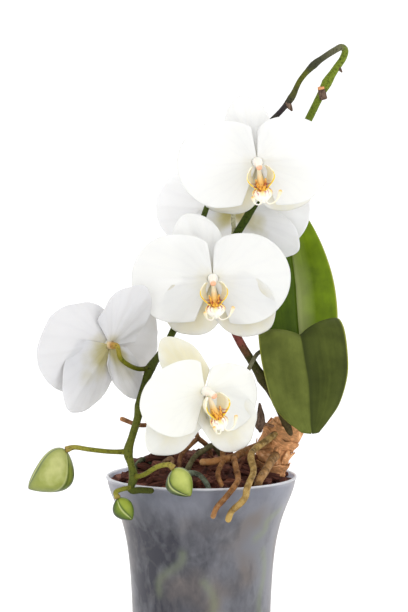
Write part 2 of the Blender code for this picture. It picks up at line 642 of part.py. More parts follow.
def stalk_end(bloom):
    """The last two points of a flower stalk: it meets the heart of the bloom square."""
    depths = (HEART_DEPTH + 5.0, HEART_DEPTH + GAP)
    return tuple(tuple(placed(bloom, (0, 0, -depth))) for depth in depths)


def tepal_point(tepal, out, across):
    """A point of a tepal: out runs from its base to its rim, across from side to side. It lies in
    the bloom's frame: x to the right, y up and z towards the face."""
    fan = math.radians(tepal.fan[0] if across > 0 else tepal.fan[1]) * across
    bow = math.sin(2 * fan)
    if abs(fan) > math.pi / 4:
        bow = math.copysign(abs(bow) ** TEPAL_SHOULDER, bow)
    x = out * tepal.width / 2 * bow
    y = out * tepal.length / 2 * (1 + math.cos(2 * fan))
    along = y / tepal.length
    x *= 1 + tepal.skew * (along - 0.5)
    z = tepal.cup * tepal.width / 2 * (2 * x / tepal.width) ** 2
    z += tepal.arch * tepal.length * along ** 2
    z += tepal.ruffle * math.sin(10 * fan + tepal.phase) * out ** 3 * abs(math.sin(fan))
    point = Matrix.Rotation(math.radians(tepal.twist) * along, 3, "Y") @ Vector((x, y, z))
    point = Matrix.Rotation(math.radians(-tepal.sweep), 3, "X") @ point
    point.z += tepal.rise
    return Matrix.Rotation(math.radians(tepal.angle - 90), 3, "Z") @ point


def tepal_object(bloom, index, tepal, rows, columns):
    """One sepal or petal as a thin solid."""
    grid = []
    for row in range(rows + 1):
        out = TEPAL_BASE + (1 - TEPAL_BASE) * row / rows
        grid.append([placed(bloom, tepal_point(tepal, out, 2 * c / columns - 1))
                     for c in range(columns + 1)])
    return sheet(f"tepal_{index}", grid, TEPAL_THICKNESS, flip=bloom.faces > 0)


def make_tepals(number, bloom):
    """The three sepals, the two petals and the column of a bloom, grown together."""
    finish = material(f"petal_white_{number}", "F4F4F0", 0.5)
    roll = Matrix.Rotation(math.radians(bloom.roll), 3, "Z")
    route = [placed(bloom, roll @ Vector(point)) for point in COLUMN_ROUTE]
    heart = new_object(f"bloom_{number}_tepals", tube_mesh(route, COLUMN_RADII, COLUMN_SIDES), finish)
    parts = []
    for index, tepal in enumerate(bloom.tepals):
        rows, columns = (3, 8) if index > 2 else (3, 6)
        parts.append(tepal_object(bloom, index, tepal, rows, columns))
    return boolean(heart, parts, "UNION")


def lip_sheet(bloom, name, point, rows, columns):
    """A thin lobe of the lip from a function of two numbers between 0 and 1."""
    roll = Matrix.Rotation(math.radians(bloom.roll), 3, "Z")
    grid = [[placed(bloom, roll @ Vector(point(r / rows, c / columns))) for c in range(columns + 1)]
            for r in range(rows + 1)]
    return sheet(name, grid, LIP_THICKNESS)


def side_lobe_point(side):
    """One of the two lobes that stand up beside the column and close over it."""
    def point(up, over):
        bend = (over - 0.5) * 2.0
        wide = 4.6 * math.sin(math.pi * (0.12 + 0.80 * up)) ** 0.7
        x = side * (2.2 + 7.0 * math.sin(0.78 * math.pi * up))
        y = -17.0 + 15.5 * up
        z = 7.4 + 0.8 * up + bend * wide
        return (x - side * abs(bend) * 0.8, y, z)
    return point


def mid_lobe_point(down, over):
    """The middle lobe: a trowel that runs forward and down to a narrow point."""
    side = (over - 0.5) * 2.0
    wide = 1.4 + 4.8 * math.sin(math.pi * down ** 0.8) ** 1.2
    return (side * wide, -14.0 - 9.5 * down, 7.5 + 4.5 * math.sin(1.9 * down) - abs(side) * 1.2)


def make_lip(number, bloom):
    """The three-lobed lip with its callus and the two tendrils of its middle lobe."""
    roll = Matrix.Rotation(math.radians(bloom.roll), 3, "Z")
    finish = material(f"lip_yellow_{number}", "F0C23C", 0.5)

    def route(points):
        return [Vector(placed(bloom, roll @ Vector(p))) for p in points]
    lip = new_object(f"bloom_{number}_lip", tube_mesh(route(CLAW_ROUTE), CLAW_RADII, 6), finish)
    parts = [lip_sheet(bloom, "mid_lobe", mid_lobe_point, 3, 4)]
    for side, points in ((1, TENDRIL_OUT), (-1, TENDRIL_IN)):
        parts.append(lip_sheet(bloom, f"side_lobe_{side}", side_lobe_point(side), 3, 3))
        parts.append(new_object(f"tendril_{side}", tube_mesh(route(points), TENDRIL_RADII, 4)))
    return boolean(lip, parts, "UNION")


# ---------------------------------------------------------------- the whole

def carve(target, cutters):
    """Cut plain holes where stems and roots stand in a piece, and drop the scraps they cut off."""
    boolean(target, cutters, "DIFFERENCE")
    mesh = bmesh.new()
    mesh.from_mesh(target.data)
    bodies, seen = [], set()
    for start in mesh.verts:
        if start in seen:
            continue
        body, edge = {start}, [start]
        while edge:
            near = [e.other_vert(v) for v in edge for e in v.link_edges]
            edge = [v for v in set(near) if v not in body]
            body.update(edge)
        seen |= body
        bodies.append(body)
    whole = max(bodies, key=len)
    scraps = [v for body in bodies if body is not whole for v in body]
    bmesh.ops.delete(mesh, geom=scraps, context="VERTS")
    mesh.to_mesh(target.data)
    mesh.free()


def main():
    """Remove what the scene holds and make the orchid, one object for each piece."""
    for found in list(bpy.data.objects):
        bpy.data.objects.remove(found)
    make_pot()
    bark = make_bark()
    stem = make_stem()
    make_spike()
    make_dead_bud()
    make_leaf("leaf_upper", LEAF_UPPER, material("leaf_bright", "5C7A12", 0.35))
    make_leaf("leaf_lower", LEAF_LOWER, material("leaf_olive", "55632B", 0.4))
    for index, values in enumerate(BUDS):
        make_bud(index, *values)
    for name in ROOTS:
        make_root(name)
    for index, values in enumerate(INNER_ROOTS):
        make_inner_root(index, values)
    for number, bloom in enumerate(BLOOMS, start=1):
        make_tepals(number, bloom)
        make_lip(number, bloom)

    def all_roots():
        return [cutter for name in ROOTS for cutter in root_tubes(name, grow=GAP)]
    deep = [Vector(STEM_ROUTE[0]) - Vector((0, 0, GAP))] + [Vector(p) for p in STEM_ROUTE[1:]]
    stem_cutter = new_object("stem_hole", tube_mesh(deep, [r + GAP for r in STEM_RADII], STEM_SIDES))
    inner = [tube(f"inner_{i}", inner_root_route(v), INNER_ROOT_RADIUS, ROOT_SIDES, grow=GAP)
             for i, v in enumerate(INNER_ROOTS)]
    carve(bark, all_roots() + inner + [stem_cutter])
    dead_cutter = tube("dead_hole", DEAD_STALK, 1.0, 5, None, 6.0, grow=GAP)
    carve(stem, all_roots() + [spike_tube("spike_hole", grow=GAP), dead_cutter])


if __name__ == "__main__":
    main()
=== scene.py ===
"""Finished looks of a potted white moth orchid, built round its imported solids.

Metres, +Z up, -Y towards the front, origin at the centre of the pot's base. Places and sizes of
the plant are written in millimetres and turned to metres by MM. Each operator makes one piece or
one group of like pieces, and the panel lists them in the order in which they are made.
"""
import math
import random
from functools import partial
from typing import NamedTuple

import bmesh
import bpy
import numpy as np
from bpy.props import FloatProperty, FloatVectorProperty, IntProperty
from mathutils import Color, Matrix, Vector, noise


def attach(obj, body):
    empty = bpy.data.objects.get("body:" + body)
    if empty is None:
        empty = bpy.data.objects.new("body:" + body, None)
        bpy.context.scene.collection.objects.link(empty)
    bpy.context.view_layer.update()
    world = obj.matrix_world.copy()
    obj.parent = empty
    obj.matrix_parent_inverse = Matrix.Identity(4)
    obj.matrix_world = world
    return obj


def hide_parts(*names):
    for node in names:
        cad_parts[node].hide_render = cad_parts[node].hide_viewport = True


bl_info = {
    "name": "Potted White Moth Orchid",
    "version": (1, 0, 0),
    "blender": (4, 5, 0),
    "location": "View3D > Sidebar > Orchid",
    "description": "Builds the finished looks of a potted white moth orchid",
    "category": "Add Mesh",
}

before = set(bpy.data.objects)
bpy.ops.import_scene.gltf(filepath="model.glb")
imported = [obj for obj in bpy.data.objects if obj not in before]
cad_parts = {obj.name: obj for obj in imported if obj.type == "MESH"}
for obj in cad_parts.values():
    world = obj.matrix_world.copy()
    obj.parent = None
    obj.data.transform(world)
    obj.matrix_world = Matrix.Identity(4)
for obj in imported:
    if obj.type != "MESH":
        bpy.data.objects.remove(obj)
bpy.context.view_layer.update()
MM = 0.001


def linear(colour):
    """An sRGB hex colour as linear RGBA."""
    channels = [int(colour[i:i + 2], 16) / 255.0 for i in (0, 2, 4)]
    return tuple(c / 12.92 if c <= 0.04045 else ((c + 0.055) / 1.055) ** 2.4 for c in channels) + (1.0,)


# ---------------------------------------------------------------- the plant's own places and sizes

class Tepal(NamedTuple):
    """A sepal or petal. Angles are in degrees; the plane is the bloom's own."""
    angle: float           # direction in the bloom's plane, anticlockwise from the right
    length: float
    width: float
    sweep: float           # how far it leans back from the plane
    cup: float = 0.15      # how far its sides come forward, in parts of its half width
    arch: float = 0.0      # how far its tip comes forward, in parts of its length
    twist: float = 0.0     # turn about its own midrib
    ruffle: float = 1.0    # height of the waves along its edge
    phase: float = 0.0     # where those waves start
    skew: float = 0.3      # how much wider it is towards its tip
    rise: float = -0.9     # how far its base lies in front of the heart's middle
    fan: tuple = (62, 62)  # degrees right and left of the midrib that it fills, seen from its base


class Bloom(NamedTuple):
    """An open flower. It is seen from the front: turn is to the right and nod is down."""
    centre: tuple
    turn: float
    nod: float
    roll: float            # turn of the column and lip in the bloom's plane
    faces: int             # 1 when it looks to the front, -1 when it looks to the back
    tepals: tuple


BLOOMS = (
    Bloom((34, -28, 320), 4, 10, 8, 1, (
        Tepal(105, 39.5, 28, 8, 0.10, 0.02, ruffle=0.6, skew=0.2),
        Tepal(-42, 46, 34, 12, 0.12, -0.18, twist=12, ruffle=0.8),
        Tepal(-126, 45, 34, 14, 0.12, -0.20, twist=-12, ruffle=0.8),
        Tepal(3, 48, 53, 3, 0.12, -0.04, 0, 1.2, 0.6, skew=-0.25, rise=0.9, fan=(62, 84)),
        Tepal(184, 49, 53, 3, 0.12, -0.04, 0, 1.2, 2.0, skew=-0.1, rise=0.9, fan=(76, 62)))),
    Bloom((20, 16, 291), 0, 0, 0, -1, (
        Tepal(95, 40, 29, 8, 0.10, 0.0, ruffle=0.8),
        Tepal(-32, 47, 28, 6, 0.14, 0.05, twist=-12, ruffle=1.0),
        Tepal(-140, 42, 28, 8, 0.14, 0.05, twist=12, ruffle=1.0),
        Tepal(2, 49, 52, 2, 0.12, -0.03, 0, 1.4, 1.1, skew=0.0, rise=0.9, fan=(62, 76)),
        Tepal(176, 49, 48, 2, 0.16, -0.03, 0, 2.2, 2.6, skew=0.1, rise=0.9, fan=(76, 62)))),
    Bloom((7, -25, 249), 0, 3, 5, 1, (
        Tepal(114, 41.5, 31, 8, 0.10, 0.04, ruffle=0.6, skew=0.2),
        Tepal(-42, 45.5, 37, 2, 0.12, -0.02, twist=8, ruffle=0.8, rise=-1.6),
        Tepal(-125, 39, 37, 4, 0.12, -0.02, twist=-8, ruffle=0.8),
        Tepal(0, 48, 55, 3, 0.10, -0.04, 0, 1.2, 0.2, skew=-0.2, rise=0.9, fan=(62, 84)),
        Tepal(180, 50, 54, 3, 0.12, -0.04, 0, 1.2, 1.5, skew=-0.1, rise=0.9, fan=(76, 62)))),
    Bloom((-56, -38, 209.3), 40, 4, 0, -1, (
        Tepal(64, 40, 33, 15, 0.22, 0.06, ruffle=0.6, skew=0.0),
        Tepal(-57, 38, 22, 9, 0.18, 0.02, twist=10, ruffle=0.8),
        Tepal(-133, 49, 37, 6, 0.30, 0.0, ruffle=0.8, skew=-0.3),
        Tepal(6, 46, 50, -3, 0.12, 0.16, 0, 1.2, 0.9, rise=0.9),
        Tepal(183, 54, 53, 1, 0.12, -0.03, 0, 1.4, 2.2, skew=-0.25, rise=0.9, fan=(80, 62)))),
    Bloom((2, -56, 183), 34, 2, 14, 1, (
        Tepal(119, 38.5, 26, 30, 0.14, 0.04, ruffle=0.6, skew=0.1),
        Tepal(-43, 49.5, 36, 6, 0.14, 0.05, twist=4, ruffle=1.0),
        Tepal(-131, 47, 34, 12, 0.12, 0.04, twist=-4, ruffle=1.0),
        Tepal(-14, 42, 40, 3, 0.10, -0.04, 0, 1.3, 0.4, skew=-0.1, rise=0.9, fan=(62, 84)),
        Tepal(190, 46, 44, 0, 0.16, 0.0, 0, 1.3, 1.8, skew=-0.2, rise=0.9, fan=(78, 58)))),
)

# The spike climbs on the right, turns sharply at its top and comes down on the left.
SPIKE_ROUTE = (
    (56, -1, 146), (54, -7, 155), (46, -6, 173), (38, -5, 186), (30, -5, 199), (24, -6, 209),
    (19, -6, 220), (16, -5, 233), (15, -5, 246), (17, -4, 261), (21, -4, 274), (28, -4, 286),
    (35, -3, 298), (43, 0, 311), (51, 2, 323), (59, 3, 335), (66, 3, 346), (73, 2, 360),
    (78, 0, 370), (83, -2, 378), (87.5, -3, 384.5), (89, -4.5, 389.5), (86.5, -6.5, 391.5),
    (82.5, -8, 389.5), (77, -10, 386), (69, -11, 380), (61, -11, 371), (56, -10, 361),
    (50, -8, 353), (43, -4, 346), (34, 0, 337), (24, 2, 326), (14, 2, 313), (6, 0, 299),
    (1, -2, 286), (-3, -3, 273), (-6, -4, 258), (-9, -6, 242), (-13, -9, 227), (-19, -14, 213),
    (-25, -21, 203), (-31, -28, 194.5), (-35, -33, 183), (-37, -37, 174), (-38.5, -41, 165),
    (-41.5, -45, 155), (-44, -48, 145.5), (-42, -51, 138), (-40.5, -54, 131), (-42, -57, 124),
    (-36, -59, 124), (-30, -61, 124))
# How far along the spike, and its radius there: it is thinnest just after its turn.
SPIKE_RADII = ((0.0, 2.7), (0.42, 2.35), (0.50, 1.65), (0.66, 1.75), (0.80, 2.2), (0.90, 2.4), (1.0, 1.9))
SPIKE_NODES = ((38, -5, 186), (17, -4, 261), (78, 0, 370), (69, -11, 380), (55, -10, 360),
               (24, 2, 326), (-3, -3, 273), (-9, -6, 242), (-31, -28, 194.5), (-37, -37, 172),
               (-44, -48, 145.5), (-40.5, -54, 131))

# Each flower stalk runs from the spike to the back of its bloom, which closes the route.
FLOWER_STALKS = (
    ((24, 2, 326), (30, -8, 325)),
    ((-3, -3, 272), (5, 4, 266), (16, 2, 268), (20, 3, 276), (20, 4, 284)),
    ((-9, -6, 242), (-2, -9, 246)),
    ((-31, -28, 194.5), (-37.4, -34, 194.3), (-43.3, -40, 196.8), (-48.6, -44.5, 201.8)),
    ((-37, -37, 174), (-28, -37, 178), (-16, -38, 181)))

# Each bud hangs from a stalk: the route, then the bud's tip, its radius and how far its middle
# bulges to one side.
BUDS = (
    (((-44, -48, 145.5), (-55, -49, 145.8), (-67, -50, 147.2), (-76, -49, 148.4), (-81.3, -48, 146.8)),
     (-104.3, -44, 122.5), 11.8, (3.6, 0, -3.2)),
    (((-40.5, -54, 131), (-34, -60, 133.5), (-26, -66, 139), (-19.5, -68, 140.5), (-16.3, -68, 138.5)),
     (-6.3, -70, 122), 8.2, (-1.2, 0, -0.8)),
    (((-42, -57, 125), (-46.6, -58, 124.6), (-51.0, -57.4, 122.6), (-50.0, -56.6, 119.2)),
     (-41.5, -54, 105.4), 6.2, (-0.6, 0, -0.6)),
)

# Dry bracts and the stumps of cut ones, on the spike: foot, tip, foot radius and what part of
# that radius is left at the tip.
BRACTS = (
    ((76, 0.5, 360), (74.2, -1.5, 367.5), 2.5, 0.85),
    ((84.5, -3, 380), (87.4, -2, 376.4), 1.5, 0.25),
    ((53, -9, 357), (56, -10.5, 352), 2.2, 0.25),
    ((-37, -37, 173), (-31.5, -40, 164), 2.4, 0.25),
    ((-31, -28, 195), (-34.5, -31, 191), 2.4, 0.25),
    ((38, -5, 185), (34, -7, 192), 2.6, 0.25),
)

# The corky stem: route and radii.
STEM_ROUTE = ((42, 2, 119), (43, 2, 126.5), (43.2, 2, 127.5), (44.5, 2, 135), (44.9, 2, 136),
              (47, 3, 143), (47.4, 3, 144), (51.5, 3, 151.5), (54, 3, 155.5), (54.5, 3, 160))
STEM_RADII = (8.0, 9.4, 8.4, 10.3, 9.3, 11.2, 10.2, 11.0, 9.8, 8.8)   # each step is a dry sheath's rim

# Roots: route and radius. Side roots of one piece are routes of their own.
ROOTS = {
    "root_forked": (
        (((49, 0, 143), (43, -6, 144.5), (34, -12, 144), (26, -21, 142), (20, -29, 140),
          (13, -34, 139), (6, -37, 138), (1, -38, 138)), 2.6),
        (((20, -29, 140), (20, -35, 139), (21, -43, 135), (22, -52, 130), (21, -60, 128.5),
          (18, -65.5, 125), (13, -65, 119), (9, -63, 114), (7, -62, 109)), 1.9),
        (((14, -33, 139), (11, -41, 135), (10, -47, 131), (12, -51, 126)), 1.7),
        (((13, -27, 147), (13, -34, 139)), 1.8)),
    "root_hanging": (
        (((51, -1, 150), (46, -7, 151), (40, -14, 148), (34, -23, 145), (31, -31, 143),
          (30, -41, 140.5), (31, -50, 137), (31, -56, 134), (29, -61, 130), (27, -66, 126),
          (26, -66, 121), (23, -65, 117), (18, -63, 112), (16, -62, 107)), 2.2),),
    "root_thick": (
        (((47, -1, 136), (46, -9, 138), (43, -20, 136), (39, -33, 132), (35, -41, 127),
          (33, -41, 118)), 2.9),),
    "root_brown": (
        (((41, 3, 131), (34, -2, 136), (29, -9, 138), (25, -15, 136), (22, -18, 130)), 1.9),),
    "root_rambling": (
        (((7, -12, 134), (4, -13, 144), (-2, -15, 150), (-5, -15, 156), (-13, -13, 160),
          (-25, -14, 159), (-38, -16, 158), (-49, -18, 162)), 1.6),
        (((-2, -15, 150), (-9, -21, 144), (-13, -26, 139), (-13, -30, 131)), 1.5)),
    "root_olive": (
        (((16, -9, 132), (8, -17, 145), (1, -24, 143), (-5, -31, 139), (-11, -38, 128)), 1.9),),
    "root_silver": (
        (((-15, -43, 126), (-9, -46, 132), (-2, -49, 132), (3, -51, 127), (6, -51, 119)), 1.8),),
    "root_curl": (
        (((-42, -11, 124), (-41, -10, 131), (-37, -8, 135.5), (-32, -6, 134), (-29, -5, 126)), 1.5),),
    "root_tan": (
        (((-27, -20, 130), (-22, -21, 136.5), (-18, -21, 137.5), (-19, -24, 131)), 1.5),),
    "root_aerial": (
        (((61, -2, 153), (61.5, -11, 158), (57, -15, 170), (50, -11, 187), (45, -8, 199),
          (40, -8, 203), (35, -9.5, 202), (30, -13, 194), (27, -15, 187)), 1.5),),
}

# Roots pressed against the inside of the wall: angle round the pot and height, start and end.
INNER_ROOTS = (
    (-88.0, 66.0, -72.0, 24.0), (-47.0, 92.0, -28.0, 108.0), (-36.0, 82.0, -30.0, 30.0),
    (-104.0, 84.0, -128.0, 58.0))

# A dried bud remains on a thin brown stalk beside the stem.
DEAD_STALK = ((50, 0, 155), (45, -5, 156), (40, -10, 158), (37, -13.5, 159))
DEAD_HEAD = ((36.5, -13.5, 154), (36, -14, 159), (36.5, -14, 164), (36, -14, 171))
DEAD_HEAD_RADII = (1.0, 3.4, 2.2, 0.7)

# Leaves: along the midrib, each station is a point and the ends of the two halves.
LEAF_UPPER = (
    # midrib           left edge          right edge
    ((56, 8.5, 160.8), (49, 5.2, 161), (62.5, 5.6, 161)),
    ((59, 9.5, 172), (47, 5, 173), (71, 5.5, 174)),
    ((61, 12, 190), (43, 6, 191), (79, 6, 192)),
    ((62, 15, 208), (39, 9, 207), (85, 8, 209)),
    ((61, 19, 226), (36, 14, 225), (86, 11, 227)),
    ((60, 24, 244), (35, 20, 243), (84, 17, 246)),
    ((58, 30, 262), (36, 27, 261), (79, 24, 264)),
    ((57, 36, 279), (40, 34, 278), (72, 32, 280)),
    ((56, 41, 291), (46, 40, 290), (65, 39, 291)),
    ((55, 44, 298), (52, 44, 297), (59, 43.5, 297)),
)
LEAF_LOWER = (
    ((56, -3, 160.8), (49.5, -0.2, 161), (62, 0.2, 161)),
    ((59, -3, 172), (50, 0, 172), (69, 0.5, 173)),
    ((60, -4, 188), (44, -1, 189), (75, 0, 190)),
    ((61, -5, 203), (38, -1, 205), (82, 0, 210)),
    ((61.5, -8, 211.5), (36, -5, 214), (84.5, -4, 223)),
    ((62, -13, 209), (35.5, -10, 212), (88, -11, 219)),
    ((63.5, -18, 198), (37, -14, 199), (90, -16, 206)),
    ((65.5, -23, 185), (40, -18, 185), (90, -20, 190)),
    ((66, -28, 171.5), (44.5, -23, 170.5), (85, -24, 173)),
    ((66.5, -30, 161.5), (52.5, -27, 161.5), (77.5, -28, 162)),
    ((67, -31, 156.5), (60, -30, 156), (72.5, -30, 156)),
)

CHIP_SEED = 23
VEINS_ACROSS = 34.0        # radians of vein pattern from the midrib to one side of a tepal
LEAF_VEINS = 9.0           # streaks of a leaf from its midrib to one margin
SHEATHS = (   # foot and height, and where its torn slit opens, in radians
    (5.0, 9.0, 0.6), (14.0, 9.5, 2.9), (23.0, 9.0, 4.6), (31.0, 9.0, 1.4))
BUD_LIT_SIDE = (0.35, -0.75, 0.55)   # where the side of each bud painted lit and pale looks
HEAP = (-33.0, 3.0, 13.0, 6.0)   # where the bark is heaped higher: x, y, reach and height
BUD_SEAMS = ((0.56, -0.66, -0.50), (-0.5, -0.75, -0.42), (0.3, -0.8, -0.5))   # where a seam faces

BLOOM_PAINTED_SHADE = ("FCFCFC", "FFFFFF", "FBFBFB", "DDDDDE", "FFFFFA")   # painted shade and light: how far each bloom's white is darkened as the light falls on it

# How far out the cream reaches on each tepal of each bloom, in parts of its length. The cream is
# partly the tepals' own colour and partly painted shade beside the lip and column.
CREAM_AND_SHADE = ((0.10, 0.80, 0.80, 0.03, 0.03), (0.2, 0.30, 0.30, 0.12, 0.12), (0.12, 0.80, 0.85, 0.03, 0.03),
         (0.05, 0.42, 0.34, 0.02, 0.02), (0.85, 0.70, 0.60, 0.05, 0.05))

# Stage, in metres
FLOOR_HALF = 6.0
FLOOR_DROP = 0.0002        # how far the paper lies below the pot
KEY_PLACE = (-0.9, -1.3, 1.4)
SIDE_PLACE = (1.1, -0.6, 0.5)
LAMP_AIM = (0.0, 0.0, 0.22)
CAMERA_PLACE = (0.0016, -1.1, 0.281)
CAMERA_DOWN = 2.6          # degrees
CAMERA_LENS = 103.5        # millimetres, as is the width of its sensor
CAMERA_SENSOR = 36.0

# Colours along the spike, each at a knot of its route.
SPIKE_COLOURS = (
    (0, "5B4A30"), (4, "4A4A22"), (5.0, "8A4A42"), (6.2, "7A3E3A"), (7, "38460A"), (12, "3C4C0A"),
    (16, "62721E"), (18, "788A28"), (21, "76862C"), (22.5, "6E6C50"), (25, "3C3E2C"), (26, "5C6018"),
    (28, "3A3236"), (30, "4A5228"), (34, "46541A"), (38, "465018"), (42, "3E4610"), (44, "5A6020"),
    (47, "646824"), (48.5, "505A1C"), (50, "40460F"))
STALK_COLOURS = (
    ((0.0, "66803A"), (1.0, "B9C48C")),
    ((0.0, "56701E"), (0.5, "A8A878"), (1.0, "E4DFC4")),
    ((0.0, "56701E"), (1.0, "A9BC6E")),
    ((0.0, "3C3E14"), (0.30, "565A10"), (0.65, "7A7A1C"), (0.85, "A8963C"), (1.0, "CE9A58")),
    ((0.0, "465618"), (1.0, "A9B870")))
BUD_STALK_COLOURS = ((0.0, "66661A"), (0.55, "80802A"), (0.85, "9C9440"), (1.0, "A0884A"))
BUD_LIGHT_AND_SHADE = (   # painted light and shade of each bud: its lit face, its sides and its most shaded parts
    ("BEC07E", "8E9640", "4C5C0C"), ("B2BA60", "78862A", "2E4006"), ("8C9A2C", "586E12", "243404"))
COLUMN_COLOURS = ((0.05, "BE8E50"), (0.20, "DCC9A0"), (0.30, "EEEDE8"), (0.60, "F0EBE0"),
                  (0.96, "F4ECDE"), (1.0, "F3B894"))
CALLUS_COLOURS = ((0.05, "F2ECDC"), (0.40, "F2E2C4"), (0.58, "F0C878"), (0.85, "E8AC3C"))

# Colour of each root's coat, of its dry bloom and of its tip, and its slot.
ROOT_FINISHES = {
    "root_forked": ("98693C", "B0926A", "B08658", "root_tan"),
    "root_hanging": ("AA8C50", "C4AE80", "B89A58", "root_tan"),
    "root_thick": ("9C7648", "B89C78", "8E7A48", "root_tan"),
    "root_tan": ("957355", "B49A80", "8A6A48", "root_tan"),
    "root_brown": ("7A4A33", "9C6E54", "6E442C", "root_brown"),
    "root_rambling": ("8A5F3E", "B08A68", "C08A5C", "root_brown"),
    "root_olive": ("5E5A3C", "8A8664", "6A7038", "root_olive"),
    "root_aerial": ("6B6A52", "A09C80", "7C7A50", "root_olive"),
    "root_silver": ("66705E", "98A294", "808C70", "root_silver"),
    "root_curl": ("545E46", "8A9478", "6E7C54", "root_silver"),
}

# Pot and bark
POT_HEIGHT = 125.0
POT_FOOT = 42.0            # outer radius that the wall tends to at the base
POT_FLARE = 17.2           # how much wider the wall is at the rim
POT_REACH = 27.0           # depth over which the flare dies away
POT_WALL = 1.2
POT_FLOOR = 1.8
LIP_OUT = 0.7              # how far the rolled lip stands out of the wall
LIP_ROLL = 1.0             # radius of the roll itself
LIP_HEIGHT = 2.4
WALL_ROWS = 40             # rings up each face of the wall
GAP = 0.35                 # clearance between the pot and what fills it
BARK_EDGE = 115.0          # height of the bark at the wall
BARK_RISE = 21.0           # how much higher the middle is
FAR_AWAY = 1000.0          # so far from the heap that it adds nothing
LIGHT_BAND_TURN = -4.61          # turns the two sides that the painted light band makes lighter round the pot, in radians
BARK_SAMPLE = (124.0 * MM, 68.0 * MM, 92.0 * MM)   # which part of the noise makes its patches

# Stems
SIDEWAYS = (0.36, 0.48, -0.8)   # no stem runs this way; the first side of a tube is square to it
SPIKE_NODE_SWELL = 0.32
SPIKE_NODE_LENGTH = 5.0
STALK_RADIUS = 1.45
INNER_ROOT_RADIUS = 1.9
INNER_ROOT_SHADOW = 3.9    # how far from a root's middle it shows through the wall
POT_FLATS = 28             # sides of the solid pot, whose flats lie inside its round wall
DOME_RINGS = 5             # rings of the dome that closes a tube
SHEATH_SLIT = 0.7          # how far a torn sheath stays open, in radians

# Leaves
LEAF_ROWS = 12             # rows of points between two stations
LEAF_COLUMNS = 49          # points from margin to margin

# Blooms
TEPAL_BASE = 0.07          # where a tepal starts, in parts of its length
TEPAL_SHOULDER = 0.35      # how square a tepal's lower half is: 1 is an ellipse, 0 a rectangle
HEART_DEPTH = 3.8          # how far the body in which the tepals join lies behind their plane
COLUMN_ROUTE = ((0, 0, -3.8), (0, 0, -1.6), (0, 0, 1.4), (0, -0.3, 3.6), (0, -0.9, 6.2), (0, -2.0, 9.0))
COLUMN_RADII = (1.3, 2.7, 3.2, 2.6, 2.1, 1.9)
CLAW_ROUTE = ((0, -3.55, 3.7), (0, -9, 5.4), (0, -14, 6.8), (0, -17, 8.6))
CLAW_RADII = (1.1, 1.8, 3.0, 1.8)
CALLUS_RIDGE = ((3.0, -9.6, 8.6), (2.4, -12.4, 9.6), (0.9, -15.6, 10.2))
TENDRIL_OUT = ((0.6, -21, 11.2), (3, -24.4, 12.2), (7.6, -23, 12.6), (10.6, -18, 12.2))
TENDRIL_IN = ((-0.6, -21, 11.2), (-2.6, -24, 12.4), (-5.4, -23, 13.2), (-6.4, -19.6, 13.4))
TENDRIL_RADII = (0.6, 0.42, 0.42, 1.25)


# ---------------------------------------------------------------- surfaces

def unit(vectors):
    """Vectors along the last axis, each made one long."""
    return vectors / np.maximum(np.linalg.norm(vectors, axis=-1, keepdims=True), 1e-9)


def turns(sides):
    """The angles of the corners of a ring, in radians."""
    return np.arange(sides) * 2 * math.pi / sides


def grid(*parts):
    """Numbers side by side on the last axis, each spread over the shape of them all."""
    return np.stack(np.broadcast_arrays(*parts), axis=-1)


def lumps(points, size, seed=0.0):
    """Smooth noise between about -1 and 1 at points, with lumps of a size in millimetres."""
    flat = np.asarray(points, float).reshape(-1, 3) / size + seed * 7.31
    return np.array([noise.noise(p) for p in flat]).reshape(np.shape(points)[:-1])


def smooth_route(points, spacing=1.0, each=None):
    """Points along a Catmull-Rom curve through the given ones, about a spacing apart, or as many as
    each says between every two."""
    knots = np.array(points, float)
    knots = np.vstack([2 * knots[0] - knots[1], knots, 2 * knots[-1] - knots[-2]])
    route = []
    for before, start, end, after in zip(knots, knots[1:], knots[2:], knots[3:]):
        steps = each or max(1, round(float(np.linalg.norm(end - start)) / spacing))
        t = np.arange(steps)[:, None] / steps
        route.append(0.5 * (2 * start + (end - before) * t
                            + (2 * before - 5 * start + 4 * end - after) * t ** 2
                            + (3 * start - before - 3 * end + after) * t ** 3))
    return np.vstack(route + [knots[-2:-1]])


def lengths(route):
    """How far along a route each of its points lies."""
    return np.concatenate([[0.0], np.cumsum(np.linalg.norm(np.diff(route, axis=0), axis=1))])


def spread(values, coarse, fine):
    """Values given at the points of a coarse route, at the points of a fine one."""
    nearest = [int(np.argmin(np.linalg.norm(fine - knot, axis=1))) for knot in np.array(coarse, float)]
    return np.interp(lengths(fine), lengths(fine)[nearest], values)


def ring_frames(route):
    """For each point of a route, two unit vectors across it that turn as little as possible."""
    steps = unit(np.diff(route, axis=0))
    tangents = unit(np.vstack([steps[:1], steps[:-1] + steps[1:], steps[-1:]]))
    side = np.cross(tangents[0], SIDEWAYS)
    frames = []
    for tangent in tangents:
        side = unit(side - tangent * side.dot(tangent))
        frames.append((side, np.cross(tangent, side)))
    return np.array(frames)


def tube_rings(route, radii, sides, shape=1.0):
    """Rings round a route. The shape is a factor on the radius, which may differ round a ring."""
    frames, angles = ring_frames(route), turns(sides)[:, None]
    around = frames[:, None, 0] * np.cos(angles) + frames[:, None, 1] * np.sin(angles)
    return route[:, None] + around * (radii[:, None] * shape)[..., None]


def swollen(rings, route, share):
    """Rings whose points stand further from their route by a share of how far they do."""
    middle = route[:, None]
    return middle + (rings - middle) * (1 + share)[..., None]


def rough_rings(route, radii, sides, depth, size, seed, shape=1.0):
    """Rings round a route with lumps of a size on them, whose depth is in parts of the radius."""
    rings = tube_rings(route, radii, sides, shape)
    return swollen(rings, route, depth * lumps(rings, size, seed))


def rounded(route, radii, start=True):
    """A route and its radii with a dome added at its end and, if wanted, at its start."""
    bend = np.radians(np.linspace(0, 84, DOME_RINGS + 1))[1:]
    for wanted in (start, True):
        route, radii = route[::-1], radii[::-1]
        if wanted:
            dome = route[-1] + unit(route[-1] - route[-2]) * radii[-1] * np.sin(bend)[:, None]
            route, radii = np.vstack([route, dome]), np.concatenate([radii, radii[-1] * np.cos(bend)])
    return route, radii


